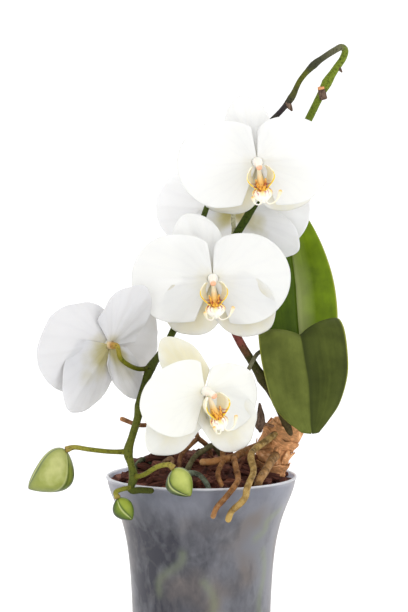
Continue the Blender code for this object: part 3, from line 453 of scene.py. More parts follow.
def rounded_through(points, radii, spacing):
    """A smooth route through points with a dome at both its ends, and its radii."""
    route = smooth_route(points, spacing)
    return rounded(route, spread(radii, points, route))


def normals(middle):
    """Unit vectors square to a grid of points."""
    return unit(np.cross(np.gradient(middle, axis=1), np.gradient(middle, axis=0)))


class Skin:
    """The closed surfaces of one piece, in millimetres. Each vertex carries what the materials
    read: its cell, which is a place on its own part, and its share of the way along the piece."""

    def __init__(self):
        self.points, self.cells, self.shares, self.quads, self.threes = [], [], [], [], []
        self.quad_finish, self.three_finish = [], []

    def add(self, points, quads, threes, cells, shares, finish=0):
        """Add one closed part, with its faces turned outwards."""
        quads = np.reshape(quads, (-1, 4))
        threes = np.asarray(threes, int).reshape(-1, 3)
        a, b, c, d = (points[quads[:, i]] for i in range(4))
        if np.sum(np.cross(c - a, d - b) * (a + b + c + d)) < 0:
            quads, threes = quads[:, ::-1], threes[:, ::-1]
        count = sum(map(len, self.points))
        self.points.append(points)
        self.cells.append(cells)
        self.shares.append(shares)
        self.quads.append(quads + count)
        self.threes.append(threes + count)
        self.quad_finish.append(np.full(len(quads), finish))
        self.three_finish.append(np.full(len(threes), finish))

    def add_rings(self, rings, cells=None, shares=None):
        """Add a tube of rings, closed at both its ends by fans."""
        rows, sides = rings.shape[:2]
        size = rows * sides
        index = np.arange(size).reshape(rows, sides)
        beside = np.roll(index, -1, axis=1)
        quads = grid(index[:-1], beside[:-1], beside[1:], index[1:])
        threes = grid(beside[0], index[0], size), grid(index[-1], beside[-1], size + 1)
        if cells is None:
            angles = turns(sides)
            cells = grid(np.cos(angles), np.sin(angles), lengths(rings.mean(axis=1))[:, None])
        shares = np.linspace(0, 1, rows) if shares is None else shares
        shares = np.broadcast_to(np.reshape(shares, (rows, -1, 1)), (rows, sides, 1))
        points, cells, shares = (
            np.vstack([values.reshape(size, -1), values[0].mean(axis=0), values[-1].mean(axis=0)])
            for values in (rings, cells, shares))
        self.add(points, quads, threes, cells, shares.ravel())

    def add_sheet(self, middle, thickness, cells=None, share=0.0, finish=0, place=None):
        """Add a thin solid either side of a grid of points. Its thickness may vary over the grid.
        The third number of a cell is 0 on the front and 1 on the back. The place, if any, moves
        the finished solid to where it belongs."""
        rows, columns = middle.shape[:2]
        size = rows * columns
        half = normals(middle) * np.broadcast_to(thickness, (rows, columns))[..., None] / 2
        index = np.arange(size).reshape(rows, columns)
        face = grid(index[:-1, :-1], index[:-1, 1:], index[1:, 1:], index[1:, :-1]).reshape(-1, 4)
        rim = np.concatenate([index[0, :-1], index[:-1, -1], index[-1, :0:-1], index[:0:-1, 0]])
        after = np.roll(rim, -1)
        quads = np.vstack([face, face[:, ::-1] + size, grid(after, rim, rim + size, after + size)])
        if cells is None:
            cells = grid(np.linspace(-1, 1, columns), np.linspace(0, 1, rows)[:, None])
        cells = cells.reshape(size, 2)
        sided = np.vstack([np.column_stack([cells, np.full(size, back)]) for back in (0, 1)])
        points = np.vstack([middle + half, middle - half]).reshape(-1, 3)
        self.add(place(points) if place else points, quads, (), sided, np.full(2 * size, share), finish)


def piece(name, skin, finishes, replaced):
    """Make one piece of the plant from its skin. It rides on the root body, stands for the nodes
    that it replaces and takes its finishes as its materials."""
    quads, threes = np.vstack(skin.quads), np.vstack(skin.threes)
    mesh = bpy.data.meshes.new(name)
    mesh.from_pydata(np.vstack(skin.points) * MM, [], quads.tolist() + threes.tolist())
    cell = mesh.attributes.new("cell", "FLOAT_VECTOR", "POINT")
    cell.data.foreach_set("vector", np.vstack(skin.cells).astype(np.float32).ravel())
    share = mesh.attributes.new("share", "FLOAT", "POINT")
    share.data.foreach_set("value", np.concatenate(skin.shares).astype(np.float32))
    for finish in finishes:
        mesh.materials.append(finish)
    used = np.concatenate(skin.quad_finish + skin.three_finish).astype(np.int32)
    mesh.polygons.foreach_set("material_index", used)
    mesh.shade_smooth()
    made = bpy.data.objects.new(name, mesh)
    bpy.context.scene.collection.objects.link(made)
    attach(made, "root")
    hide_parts(*replaced)
    return made


# ---------------------------------------------------------------- materials

def per_metre(size):
    """How many features of a size in millimetres there are in a metre."""
    return 1.0 / (size * MM)


def wire(tree, node, sockets):
    """Give sockets of a node their values, or join them to the outputs that feed them. They go by
    name, or in the order of those in use. A node feeds by its first output in use, and a colour may
    be sRGB hex or a property."""
    if not isinstance(sockets, dict):
        used = [order for order, socket in enumerate(node.inputs) if socket.enabled]
        sockets = dict(zip(used, sockets))
    for name, value in sockets.items():
        if isinstance(value, bpy.types.Node):
            value = next(output for output in value.outputs if output.enabled)
        if isinstance(value, bpy.types.NodeSocket):
            tree.links.new(value, node.inputs[name])
        elif isinstance(value, str):
            node.inputs[name].default_value = linear(value)
        else:
            node.inputs[name].default_value = (*value, 1.0) if isinstance(value, Color) else value


def add(tree, kind, sockets=(), stops=(), **settings):
    """Add a node of a kind, with its sockets, the stops of its ramp as places and colours, and its
    settings. A kind in capitals is an operation of a Math node, and every Mix mixes colours. Noise
    takes a place, a scale, a detail and a roughness in order, and a range its value and its ends."""
    if kind.isupper():
        kind, settings = "Math", {"operation": kind}
    elif kind == "Mix":
        settings = {"data_type": "RGBA", **settings}
    node = tree.nodes.new("ShaderNode" + kind)
    for name, value in settings.items():
        setattr(node, name, value)
    wire(tree, node, sockets)
    for order, (place, colour) in enumerate(stops):
        ramp = node.color_ramp.elements
        stop = ramp[order] if order < 2 else ramp.new(place)
        stop.position, stop.color = place, linear(colour)
    return node


def new_finish(name, **sockets):
    """A material, and the function that adds a node to it. The sockets of its Principled shader
    are given by name, with underscores."""
    made = bpy.data.materials.new(name)
    made.use_nodes = True
    dress(made, sockets)
    return made, partial(add, made.node_tree)


def dress(made, sockets):
    """Wire the sockets of a material's Principled shader."""
    tree = made.node_tree
    named = {name.replace("_", " "): value for name, value in sockets.items()}
    wire(tree, tree.nodes["Principled BSDF"], named)


def surfaced(made, colour, height, strength, depth, under=None, **sockets):
    """The material with its colour and with the relief of its skin, whose depth is in millimetres.
    Another relief may lie under that one."""
    below = {"Normal": under} if under else {}
    relief = add(made.node_tree, "Bump", {"Height": height, "Strength": strength,
                                          "Distance": depth * MM, **below})
    dress(made, {"Base_Color": colour, "Normal": relief, **sockets})
    return made


def cell_numbers(node):
    """The three numbers of a vertex's cell."""
    cell = node("Attribute", attribute_name="cell").outputs["Vector"]
    return node("SeparateXYZ", (cell,)).outputs[:]


def share_and_spot(node):
    """A vertex's share and its place in the object."""
    return (node("Attribute", attribute_name="share").outputs["Fac"],
            node("TexCoord").outputs["Object"])


def petal_finish(name, looks, tone):
    """Petal tissue of a moth orchid: a thin, water-filled white leaf. Light enters it and comes out
    again nearby, so it looks soft, with faint veins, a creamy throat and a cooler back. The throat's
    cream is partly painted shade beside the lip, and the tone darkens a whole bloom as painted shade."""
    made, node = new_finish(
        name, Roughness=0.5, IOR=1.4, Specular_IOR_Level=0.35, Subsurface_Weight=0.45,
        Subsurface_Radius=(1.0, 0.95, 0.88), Subsurface_Scale=2.0 * MM)
    across, out, back = cell_numbers(node)
    reach, spot = share_and_spot(node)
    drift = node("TexNoise", (spot, per_metre(11.0), 2.0))
    sway = node("MULTIPLY", (drift, 5.0))
    lanes = node("MULTIPLY_ADD", (across, VEINS_ACROSS, sway))
    wave = node("SINE", (lanes,))
    ridge = node("MULTIPLY_ADD", (wave, 0.5, 0.5))
    vein = node("ValToRGB", (ridge,), ((0.62, "000000"), (1.0, "FFFFFF")))
    beyond = node("MULTIPLY_ADD", (reach, -1.2, out))
    uneven = node("MULTIPLY_ADD", (drift, 0.5, beyond))
    # Cream at the throat: partly the petals' own colour and partly painted shade where they meet the lip.
    throat = node("MapRange", (uneven, 0.50, -0.10), interpolation_type="SMOOTHSTEP")
    face = node("Mix", (throat, looks.petal_white, looks.throat_cream_and_shade))
    rear = node("Mix", (throat, looks.petal_back, looks.back_green))
    both = node("Mix", (back, face, rear))
    faint = node("MULTIPLY", (vein, 0.10))
    veined = node("Mix", (faint, both, looks.vein_grey))
    # Painted shade: the whole bloom is darkened by its tone, most for the bloom turned away from the
    # light.
    shade_toned = node("Mix", (1.0, veined, tone), blend_type="MULTIPLY")
    grain = node("TexNoise", (spot, per_metre(0.7), 2.0))
    low = node("Bump", {"Height": vein, "Strength": 0.2, "Distance": 0.10 * MM})
    return surfaced(made, shade_toned, grain, 0.25, 0.08, low)


def column_finish(name):
    """Waxy flower tissue of the column: the same white flesh, thicker and smoother, that turns to
    cream at its foot and to peach on the cap over the pollen."""
    made, node = new_finish(name, Roughness=0.38, IOR=1.42, Subsurface_Weight=0.35,
                            Subsurface_Radius=(1.0, 0.7, 0.5), Subsurface_Scale=1.5 * MM)
    share, spot = share_and_spot(node)
    mottle = node("TexNoise", (spot, per_metre(2.0), 2.0))
    place = node("MULTIPLY_ADD", (mottle, 0.10, share))
    flesh = node("ValToRGB", (place,), COLUMN_COLOURS)
    return surfaced(made, flesh, mottle, 0.3, 0.15)


def lobe_finish(name, looks):
    """Lip tissue of a side lobe: thin white flesh whose free edge is filled with yellow pigment and
    whose inner face carries short maroon bars, so the eye sees a golden outline."""
    made, node = new_finish(name, Roughness=0.45, IOR=1.4, Subsurface_Weight=0.3,
                            Subsurface_Radius=(1.0, 0.8, 0.4), Subsurface_Scale=1.2 * MM)
    edge, up, back = cell_numbers(node)
    spot = node("TexCoord").outputs["Object"]
    cloud = node("TexNoise", (spot, per_metre(2.4), 2.0))
    ragged = node("MULTIPLY_ADD", (cloud, 0.5, edge))
    low = node("MULTIPLY_ADD", (up, -0.75, ragged))
    gold = node("MapRange", (low, 0.50, 0.85), interpolation_type="SMOOTHSTEP")
    outer = node("MapRange", (edge, 0.2, 0.75))
    pale = node("Mix", (outer, looks.lip_cream, looks.lip_white))
    flesh = node("Mix", (gold, pale, looks.lip_gold))
    bars = node("TexWave", {"Vector": spot, "Scale": per_metre(7.0), "Distortion": 5.0,
                            "Detail": 1.0}, bands_direction="Z").outputs["Fac"]
    bar = node("ValToRGB", (bars,), ((0.62, "000000"), (0.80, "FFFFFF")))
    foot = node("MapRange", (up, 0.42, 0.20))
    front = node("SUBTRACT", (1.0, back))
    inner = node("MULTIPLY", (foot, front))
    where = node("MULTIPLY", (inner, bar))
    marked = node("Mix", (where, flesh, looks.stripe_maroon))
    return surfaced(made, marked, cloud, 0.3, 0.2)


def callus_finish(name, looks):
    """Waxy flesh of the lip's foot and callus: cream and peach near the column, then deep gold with
    brown flecks where the two ridges meet. It is thick, so it shines softly like butter."""
    made, node = new_finish(name, Roughness=0.35, IOR=1.43, Subsurface_Weight=0.25,
                            Subsurface_Radius=(1.0, 0.6, 0.25), Subsurface_Scale=1.5 * MM)
    share, spot = share_and_spot(node)
    mottle = node("TexNoise", (spot, per_metre(1.6), 3.0))
    place = node("MULTIPLY_ADD", (mottle, 0.12, share))
    flesh = node("ValToRGB", (place,), CALLUS_COLOURS)
    flecks = node("ValToRGB", (mottle,), ((0.50, "000000"), (0.58, "FFFFFF")))
    late = node("MapRange", (share, 0.60, 0.75))
    where = node("MULTIPLY", (flecks, late))
    flecked = node("Mix", (where, flesh, looks.fleck_brown))
    return surfaced(made, flecked, mottle, 0.3, 0.2)


def middle_lobe_finish(name, looks):
    """Lip tissue of the middle lobe: white flesh with a golden stripe down its keel, yellow
    shoulders and fine maroon bars that fan out from its root."""
    made, node = new_finish(name, Roughness=0.45, IOR=1.4, Subsurface_Weight=0.3,
                            Subsurface_Radius=(1.0, 0.8, 0.5), Subsurface_Scale=1.2 * MM)
    over, down, _ = cell_numbers(node)
    spot = node("TexCoord").outputs["Object"]
    cloud = node("TexNoise", (spot, per_metre(1.8), 2.0))
    aside = node("ABSOLUTE", (over,))
    wander = node("MULTIPLY_ADD", (cloud, 0.5, down))
    root = node("MapRange", (wander, 0.90, 0.45))
    sway = node("MULTIPLY", (cloud, 7.0))
    fan = node("MULTIPLY_ADD", (over, 17.0, sway))
    wave = node("SINE", (fan,))
    bar = node("ValToRGB", (wave,), ((0.20, "000000"), (0.55, "FFFFFF")))
    keel = node("MapRange", (aside, 0.34, 0.10))
    shoulder = node("MapRange", (aside, 0.62, 0.95))
    either = node("MAXIMUM", (keel, shoulder))
    yellow = node("MULTIPLY", (either, root))
    flesh = node("Mix", (yellow, looks.lip_white, looks.lip_gold))
    barred = node("MULTIPLY", (bar, root))
    away = node("SUBTRACT", (1.0, keel))
    where = node("MULTIPLY", (barred, away))
    marked = node("Mix", (where, flesh, looks.stripe_maroon))
    return surfaced(made, marked, cloud, 0.3, 0.2)


def leaf_finish(name, dark, bright, margin, roughness, streak, strength, reach):
    """Leaf of a moth orchid: thick green tissue under a waxy cuticle. The wax gives broad soft
    highlights, long parallel veins show as faint streaks, and the margin is thin and yellowish. The
    dark and bright halves either side of the midrib are painted shade and painted light. A streak of
    another colour runs beside the midrib, of a strength, as far as a reach: a painted highlight on
    the upper leaf and a painted shade on the lower."""
    made, node = new_finish(name, Roughness=roughness, IOR=1.45, Specular_IOR_Level=0.12,
                            Coat_Weight=0.04, Coat_Roughness=0.28, Coat_IOR=1.4)
    across, along, _ = cell_numbers(node)
    spot = node("TexCoord").outputs["Object"]
    cloud = node("TexNoise", (spot, per_metre(20.0), 4.0, 0.6))
    lanes = node("MULTIPLY", (across, LEAF_VEINS))
    drawn = node("MULTIPLY", (along, 2.2))
    lane = node("CombineXYZ", (lanes, drawn))
    streaks = node("TexNoise", (lane, 1.0, 3.0))
    # Painted light and shade: one half of the leaf is painted lit and the other shaded, with a step at
    # the midrib.
    step = node("MapRange", (across, -0.05, 0.07, 0.0, 0.65))
    half = node("MULTIPLY_ADD", (streaks, 0.5, step))
    tone = node("Mix", (half, dark, bright))
    shade = node("ValToRGB", (cloud,), ((0.32, "C0C2B2"), (0.66, "FFFFFF")))
    mottled = node("Mix", (1.0, tone, shade), blend_type="MULTIPLY")
    # A streak beside the midrib, strongest towards the base: a painted highlight on the upper leaf and a
    # painted shade on the lower.
    beside = node("ValToRGB", (across,), (
        (0.0, "000000"), (0.03, "FFFFFF"), (0.17, "B8B8B8"), (0.50, "000000")))
    near = node("MapRange", (along, reach, reach - 0.4, 0.0, strength))
    where = node("MULTIPLY", (beside, near))
    pale = node("Mix", (where, mottled, streak))
    aside = node("ABSOLUTE", (across,))
    rim = node("MapRange", (aside, 0.955, 0.995))
    edged = node("Mix", (rim, pale, margin))
    veins = node("Bump", {"Height": streaks, "Strength": 0.5, "Distance": 0.5 * MM})
    pores = node("TexNoise", (spot, per_metre(1.1), 2.0))
    return surfaced(made, edged, pores, 0.25, 0.15, veins)


def green_stem_finish(name, stops):
    """Skin of a living stem: smooth waxy green that browns where it is old or bruised. The colours
    follow one another along the stem, a little uneven, with small pale and dark freckles."""
    made, node = new_finish(name, Roughness=0.5, IOR=1.45, Specular_IOR_Level=0.14)
    share, spot = share_and_spot(node)
    uneven = node("TexNoise", (spot, per_metre(7.0), 3.0))
    back = node("ADD", (share, -0.015))
    place = node("MULTIPLY_ADD", (uneven, 0.03, back))
    rind = node("ValToRGB", (place,), stops)
    freckles = node("TexNoise", (spot, per_metre(1.3), 3.0))
    tone = node("ValToRGB", (freckles,), ((0.28, "8C8C8C"), (0.45, "E6E6E6"), (0.75, "FFFFFF")))
    mixed = node("Mix", (1.0, rind, tone), blend_type="MULTIPLY")
    return surfaced(made, mixed, freckles, 0.35, 0.2)


def velamen_finish(name, colour, silver, tip):
    """Velamen, the dead spongy coat of an orchid root: chalky and matt where it is dry, darker in
    its hollows and stained by bark, and clear green only at the growing tip."""
    made, node = new_finish(name, Roughness=0.78, IOR=1.4, Specular_IOR_Level=0.35)
    share, spot = share_and_spot(node)
    stain = node("TexNoise", (spot, per_metre(6.0), 4.0, 0.6))
    coat = node("ValToRGB", (stain,), ((0.30, "6A6058"), (0.46, "C8C2BA"), (0.62, "FFFFFF")))
    base = node("Mix", (1.0, colour, coat), blend_type="MULTIPLY")
    chalk = node("TexNoise", (spot, per_metre(2.2), 5.0, 0.7))
    bloom = node("ValToRGB", (chalk,), ((0.50, "000000"), (0.72, "FFFFFF")))
    thin = node("MULTIPLY", (bloom, 0.55))
    dusty = node("Mix", (thin, base, silver))
    end = node("MapRange", (share, 0.90, 0.98))
    tipped = node("Mix", (end, dusty, tip))
    return surfaced(made, tipped, chalk, 0.6, 0.5)


def cork_finish(name, looks):
    """Corky stem and dry leaf sheaths: papery brown fibre that runs along the stem, weathered to
    tan on its ridges and dark in its cracks, with no shine."""
    made, node = new_finish(name, Roughness=0.85, Specular_IOR_Level=0.14)
    cell = node("Attribute", attribute_name="cell").outputs["Vector"]
    spot = node("TexCoord").outputs["Object"]
    drawn = node("Mapping", {"Vector": cell, "Scale": (9.0, 9.0, 0.10)})
    fibres = node("TexNoise", (drawn, 1.0, 4.0))
    patches = node("TexNoise", (spot, per_metre(5.0), 4.0))
    total = node("ADD", (fibres, patches))
    both = node("MULTIPLY", (total, 0.5))
    ramp = node("ValToRGB", (both,), (
        (0.36, "3A2014"), (0.46, "84502C"), (0.54, "C08050"), (0.64, "F0C89C")))
    tinted = node("Mix", (0.36, ramp, looks.stem_cork))
    return surfaced(made, tinted, both, 0.8, 0.8)


def husk_finish(name, looks):
    """Dried husk: flower tissue that has shrivelled to thin brown paper, creased along its length.
    Where its share is high it is a fresh cut, and orange."""
    made, node = new_finish(name, Roughness=0.8, Specular_IOR_Level=0.14)
    share, spot = share_and_spot(node)
    drawn = node("Mapping", {"Vector": spot, "Scale": (1.0, 1.0, 0.25)})
    creases = node("TexNoise", (drawn, per_metre(1.4), 4.0))
    ramp = node("ValToRGB", (creases,), ((0.30, "2E231E"), (0.50, "5E4A3E"), (0.70, "9A8270")))
    tinted = node("Mix", (0.4, ramp, looks.dry_husk))
    fresh = node("MapRange", (share, 0.5, 0.8))
    cut = node("Mix", (fresh, tinted, looks.cut_orange))
    return surfaced(made, cut, creases, 0.7, 0.6)


def bud_finish(name, looks, lit_to_shaded):
    """Skin of a closed bud: waxy sepals with the white of the flower showing through their green,
    pale along their seams and brown at the very tip. Light and shade are painted on it: each bud is
    palest on its lit side and darker and greener on its shaded side and at its rim as seen."""
    made, node = new_finish(name, Roughness=0.4, IOR=1.42, Subsurface_Weight=0.2,
                            Subsurface_Radius=(0.8, 1.0, 0.4), Subsurface_Scale=2.0 * MM)
    seam, shadow, _ = cell_numbers(node)
    share, spot = share_and_spot(node)
    cloud = node("TexNoise", (spot, per_metre(5.0), 3.0))
    # Painted shade: darker and greener where the bud is seen edge on and on the side away from the light.
    slant = node("LayerWeight", {"Blend": 0.45}).outputs["Facing"]
    aside = node("MULTIPLY_ADD", (slant, 0.45, shadow))
    uneven = node("MULTIPLY_ADD", (cloud, 0.35, aside))
    green = node("MULTIPLY", (uneven, 0.95))
    ramp = node("ValToRGB", (green,), zip((0.22, 0.52, 0.92), lit_to_shaded))
    line = node("Mix", (seam, ramp, looks.seam_pale))
    point = node("MapRange", (share, 0.95, 0.985))
    tipped = node("Mix", (point, line, looks.bud_tip))
    return surfaced(made, tipped, cloud, 0.2, 0.4)


def bark_finish(name, looks):
    """Graded pine bark: each chip is a stack of thin corky plates, dull and split, from near black
    through red brown to a weathered grey tan. No two chips are quite the same colour."""
    made, node = new_finish(name, Roughness=0.9, Specular_IOR_Level=0.25)
    cell = node("Attribute", attribute_name="cell").outputs["Vector"]
    own = node("Attribute", attribute_name="share").outputs["Fac"]
    drawn = node("Mapping", {"Vector": cell, "Scale": (0.12, 0.45, 1.5)})
    plates = node("TexNoise", (drawn, 1.0, 5.0, 0.65))
    ramp = node("ValToRGB", (plates,), (
        (0.34, "20110D"), (0.46, "54302A"), (0.58, "80503F"), (0.72, "B48A74")))
    tint = node("ValToRGB", (own,), (
        (0.0, "8F7A74"), (0.45, "D8C4BC"), (0.8, "FFFFFF"), (1.0, "FFE2C4")))
    mixed = node("Mix", (1.0, ramp, tint), blend_type="MULTIPLY")
    browned = node("Mix", (0.25, mixed, looks.bark_brown))
    return surfaced(made, browned, plates, 0.9, 1.0)


def frosted_finish(name, looks):
    """Frosted polypropylene, injection moulded against a grained tool: milky and grey, it lets the
    bark behind it show only as soft dark patches, and its grain spreads every highlight."""
    made, node = new_finish(name, Roughness=looks.frost_roughness, IOR=1.49,
                            Transmission_Weight=looks.clearness, Specular_IOR_Level=0.5)
    spot = node("TexCoord").outputs["Object"]
    x, y, height = node("SeparateXYZ", (spot,)).outputs

    # Painted light: a band twice round the pot makes two opposite sides lighter and the two between
    # darker, as the light falls on it; broad patches and single chips of bark seen through the wall
    # break that up.
    around = node("ARCTAN2", (x, y))
    doubled = node("MULTIPLY_ADD", (around, 2.0, LIGHT_BAND_TURN))
    painted_light_band = node("COSINE", (doubled,))
    tall = node("Mapping", {"Vector": spot, "Scale": (1.0, 1.0, 0.5), "Location": BARK_SAMPLE})
    behind = node("TexNoise", {"Vector": tall, "Scale": per_metre(20.0), "Detail": 4.0,
                               "Roughness": 0.55, "Distortion": 0.25})
    centred = node("SUBTRACT", (behind, 0.21))
    tallish = node("Mapping", {"Vector": spot, "Scale": (1.0, 1.0, 0.6)})
    chips = node("TexNoise", {"Vector": tallish, "Scale": per_metre(6.5), "Detail": 5.0,
                              "Roughness": 0.62, "Distortion": 0.6})
    broken = node("MULTIPLY_ADD", (chips, 0.42, centred))
    loose = node("MULTIPLY_ADD", (painted_light_band, 0.12, broken))
    patches = node("ValToRGB", (loose,), ((0.33, "000000"), (0.68, "FFFFFF")))
    marks = node("TexNoise", {"Vector": spot, "Scale": per_metre(24.0), "Detail": 3.0,
                              "Distortion": 0.5})
    traces = node("ValToRGB", (marks,), ((0.45, "000000"), (0.51, "FFFFFF"), (0.55, "000000")))
    clear = node("MULTIPLY_ADD", (traces, 0.12, patches))
    warm = node("TexNoise", (spot, per_metre(31.0), 2.0))
    warmth = node("ValToRGB", (warm,), ((0.46, "000000"), (0.62, "FFFFFF")))
    light = node("Mix", (warmth, looks.frost_grey, looks.frost_warm))
    veil = node("Mix", (clear, looks.frost_shadow, light))

    # Roots touch the wall; above the bark the wall is painted lighter, standing in for the light that
    # comes through it there; edge on it is painted lighter still, a painted sheen; and it is milkier at
    # its lip.
    root = node("Attribute", attribute_name="share").outputs["Fac"]
    touching = node("MULTIPLY", (root, 0.75))
    rooted = node("Mix", (touching, veil, looks.root_green))
    free = node("MapRange", (height, 100.0 * MM, 121.5 * MM, 0.0, 0.55), interpolation_type="SMOOTHSTEP")
    lit_above = node("Mix", (free, rooted, looks.frost_painted_light_upper))
    slant = node("LayerWeight", {"Blend": 0.5}).outputs["Facing"]
    thicker = node("POWER", (slant, 5.0))
    edge_sheen = node("MULTIPLY", (thicker, 0.8))
    edged = node("Mix", (edge_sheen, lit_above, looks.frost_painted_edge_sheen))
    lip = node("MapRange", (height, 123.4 * MM, 124.4 * MM))
    rimmed = node("Mix", (lip, edged, looks.rim_white))
    milk = node("MapRange", (lip, 0.0, 1.0, looks.clearness, 0.45))
    grain = node("TexNoise", (spot, per_metre(0.9), 2.0))
    return surfaced(made, rimmed, grain, 0.2, 0.08, Transmission_Weight=milk)


def floor_finish(name, looks):
    """Matt white studio paper: smooth, without gloss, so that only soft shadows show on it. It
    glows a little, as paper does under more lights than are set here."""
    return new_finish(name, Roughness=0.9, Specular_IOR_Level=0.1, Base_Color=looks.floor_white,
                      Emission_Strength=0.12, Emission_Color="FFFFFF")[0]


# ---------------------------------------------------------------- what a user may change

def hue(name, description, colour):
    """A colour property whose default is an sRGB hex colour."""
    return FloatVectorProperty(name=name, description=description, subtype="COLOR", size=3, min=0.0,
                               max=1.0, default=linear(colour)[:3])


def measure(name, description, size, low, high):
    """A length property, given in millimetres and held in metres."""
    return FloatProperty(name=name, description=description, default=size * MM, min=low * MM,
                         max=high * MM, unit="LENGTH")


class ORCHID_bloom_looks(bpy.types.PropertyGroup):
    """Sizes and colours of the open flowers and the buds."""
    tepal_base: measure("Tepal thickness at its base", "How thick a petal or sepal is near its heart",
                        0.8, 0.3, 2.0)
    tepal_rim: measure("Tepal thickness at its rim", "How thick a petal or sepal is at its edge",
                       0.35, 0.1, 1.0)
    fold: measure("Fold height", "How far the soft folds of a petal rise and fall", 0.8, 0.0, 3.0)
    lip_thickness: measure("Lip thickness", "How thick the lobes of the lip are", 0.6, 0.2, 2.0)
    petal_white: hue("Petal white", "Colour of the face of a petal", "E7E7E4")
    petal_back: hue("Petal back", "Colour of the back of a petal", "EFEFF1")
    back_green: hue("Back near the stalk", "Colour of the back of a petal beside the stalk", "C4BB82")
    # The throat cream is partly the petals' own cream and partly painted shade beside the lip.
    throat_cream_and_shade: hue("Throat cream", "Colour of a petal beside the column", "DED7BC")
    vein_grey: hue("Vein grey", "Colour of the faint veins", "D9D8DC")
    lip_white: hue("Lip white", "Colour of the pale parts of the lip", "F7F3E6")
    lip_cream: hue("Lip cream", "Colour of the hollow sides of the lip", "E6DFC4")
    lip_gold: hue("Lip gold", "Colour of the yellow edges of the lip", "F8D22E")
    stripe_maroon: hue("Stripe maroon", "Colour of the bars inside the lip", "B03A5C")
    fleck_brown: hue("Fleck brown", "Colour of the flecks on the callus", "A0481C")
    seam_pale: hue("Pale seam", "Colour of the seams of a bud", "D2D698")
    bud_tip: hue("Bud tip", "Colour of the dry point of a bud", "4E3A26")


class ORCHID_plant_looks(bpy.types.PropertyGroup):
    """Sizes and colours of the leaves, the stem and the roots."""
    leaf_middle: measure("Leaf thickness at its midrib", "How thick a leaf is along its midrib",
                         2.0, 0.8, 4.0)
    leaf_margin: measure("Leaf thickness at its margin", "How thick a leaf is at its edge", 0.9, 0.4, 2.0)
    # Each leaf's two halves are painted: one half lit and the other in shade.
    upper_painted_shade: hue("Upper leaf, shaded half", "Darker green of the upper leaf", "304802")
    upper_painted_light: hue("Upper leaf, lit half", "Brighter green of the upper leaf", "748E12")
    lower_painted_shade: hue("Lower leaf, shaded half", "Darker olive of the lower leaf", "434C19")
    lower_painted_light: hue("Lower leaf, lit half", "Brighter olive of the lower leaf", "6E7736")
    # The streaks beside the midribs are a painted highlight on the upper leaf and a painted shade on the
    # lower.
    upper_painted_highlight: hue("Upper leaf, streak", "Colour of the pale streak beside its midrib", "C6CE90")
    lower_painted_crease_shade: hue("Lower leaf, crease", "Colour of the shaded side of its midrib", "2C3410")
    margin_yellow: hue("Leaf margin", "Colour of the thin edge of a leaf", "9CA040")
    stem_cork: hue("Stem cork", "Colour of the corky stem", "F2B982")
    cut_orange: hue("Cut stump", "Colour of the end of a cut bract", "E2A070")
    dry_husk: hue("Dry husk", "Colour of dried buds and bracts", "5B4A3E")


class ORCHID_pot_looks(bpy.types.PropertyGroup):
    """Sizes and colours of the pot and the bark."""
    chip_count: IntProperty(name="Bark chips", description="How many loose chips lie on the bark",
                            default=230, min=20, max=600)
    frost_grey: hue("Frosted plastic", "Colour of the pot's plastic", "B4B6C0")
    frost_warm: hue("Frosted plastic, warm", "Colour of the plastic where brown bark shows through",
                    "B0A6A2")
    frost_shadow: hue("Frosted plastic, shaded", "Colour of the plastic where bark touches it", "48485A")
    # The upper and edge colours of the plastic are painted light: lighter above the bark and where the
    # wall is seen edge on.
    frost_painted_light_upper: hue("Frosted plastic, upper", "Colour of the plastic where air lies behind it", "CCD2E4")
    frost_painted_edge_sheen: hue("Frosted plastic, edge", "Colour of the plastic seen along its wall", "F4E8E4")
    rim_white: hue("Rim", "Colour of the pot's lip", "F2F2F6")
    root_green: hue("Root behind the wall", "Colour of the plastic where a root touches it", "C4D69A")
    frost_roughness: FloatProperty(name="Frost", description="How far the pot's surface spreads light",
                                   default=0.42, min=0.05, max=1.0, subtype="FACTOR")
    clearness: FloatProperty(name="Clearness", description="How much light passes through the plastic",
                             default=0.74, min=0.0, max=1.0, subtype="FACTOR")
    bark_brown: hue("Bark brown", "Colour that all the chips lean to", "6A4236")


class ORCHID_stage_looks(bpy.types.PropertyGroup):
    """The floor, the lights and the camera."""
    floor_white: hue("Floor", "Colour of the studio paper", "FBFBFB")
    sky: FloatProperty(name="Room light", description="Strength of the white light from all around",
                       default=1.18, min=0.0, max=5.0)
    key: FloatProperty(name="Key light", description="Power of the large soft light at the front left",
                       default=1.6, min=0.0, max=500.0, unit="POWER")
    fill: FloatProperty(name="Side light", description="Power of the narrow soft light at the right",
                        default=1.2, min=0.0, max=500.0, unit="POWER")


# ---------------------------------------------------------------- pot and bark

def flare(depth):
    """Outer radius of the pot's wall at a depth below the rim, both in millimetres."""
    return POT_FOOT + POT_FLARE / (1.0 + (depth / POT_REACH) ** 2)


def turned_rings(profile, sides):
    """Rings about Z from points of radius and height."""
    radius, height = profile.T[..., None]
    return grid(radius * np.cos(turns(sides)), radius * np.sin(turns(sides)), height)


def wall_profile(inset, steps):
    """Radius and height down the pot's wall, from the bark's edge to the floor, a distance inside
    its outer face."""
    heights = BARK_EDGE - (BARK_EDGE - POT_FLOOR) * np.linspace(0, 1, steps + 1) ** 1.5
    return np.column_stack([flare(POT_HEIGHT - heights) - inset, heights])


def bark_top(radius, x=FAR_AWAY, y=0.0):
    """Height of the bark's surface at a distance from the pot's axis. The place adds the heap."""
    away = ((x - HEAP[0]) ** 2 + (y - HEAP[1]) ** 2) / HEAP[2] ** 2
    return BARK_EDGE + BARK_RISE * (1.0 - (radius / flare(0.0)) ** 2) + HEAP[3] * np.exp(-away)


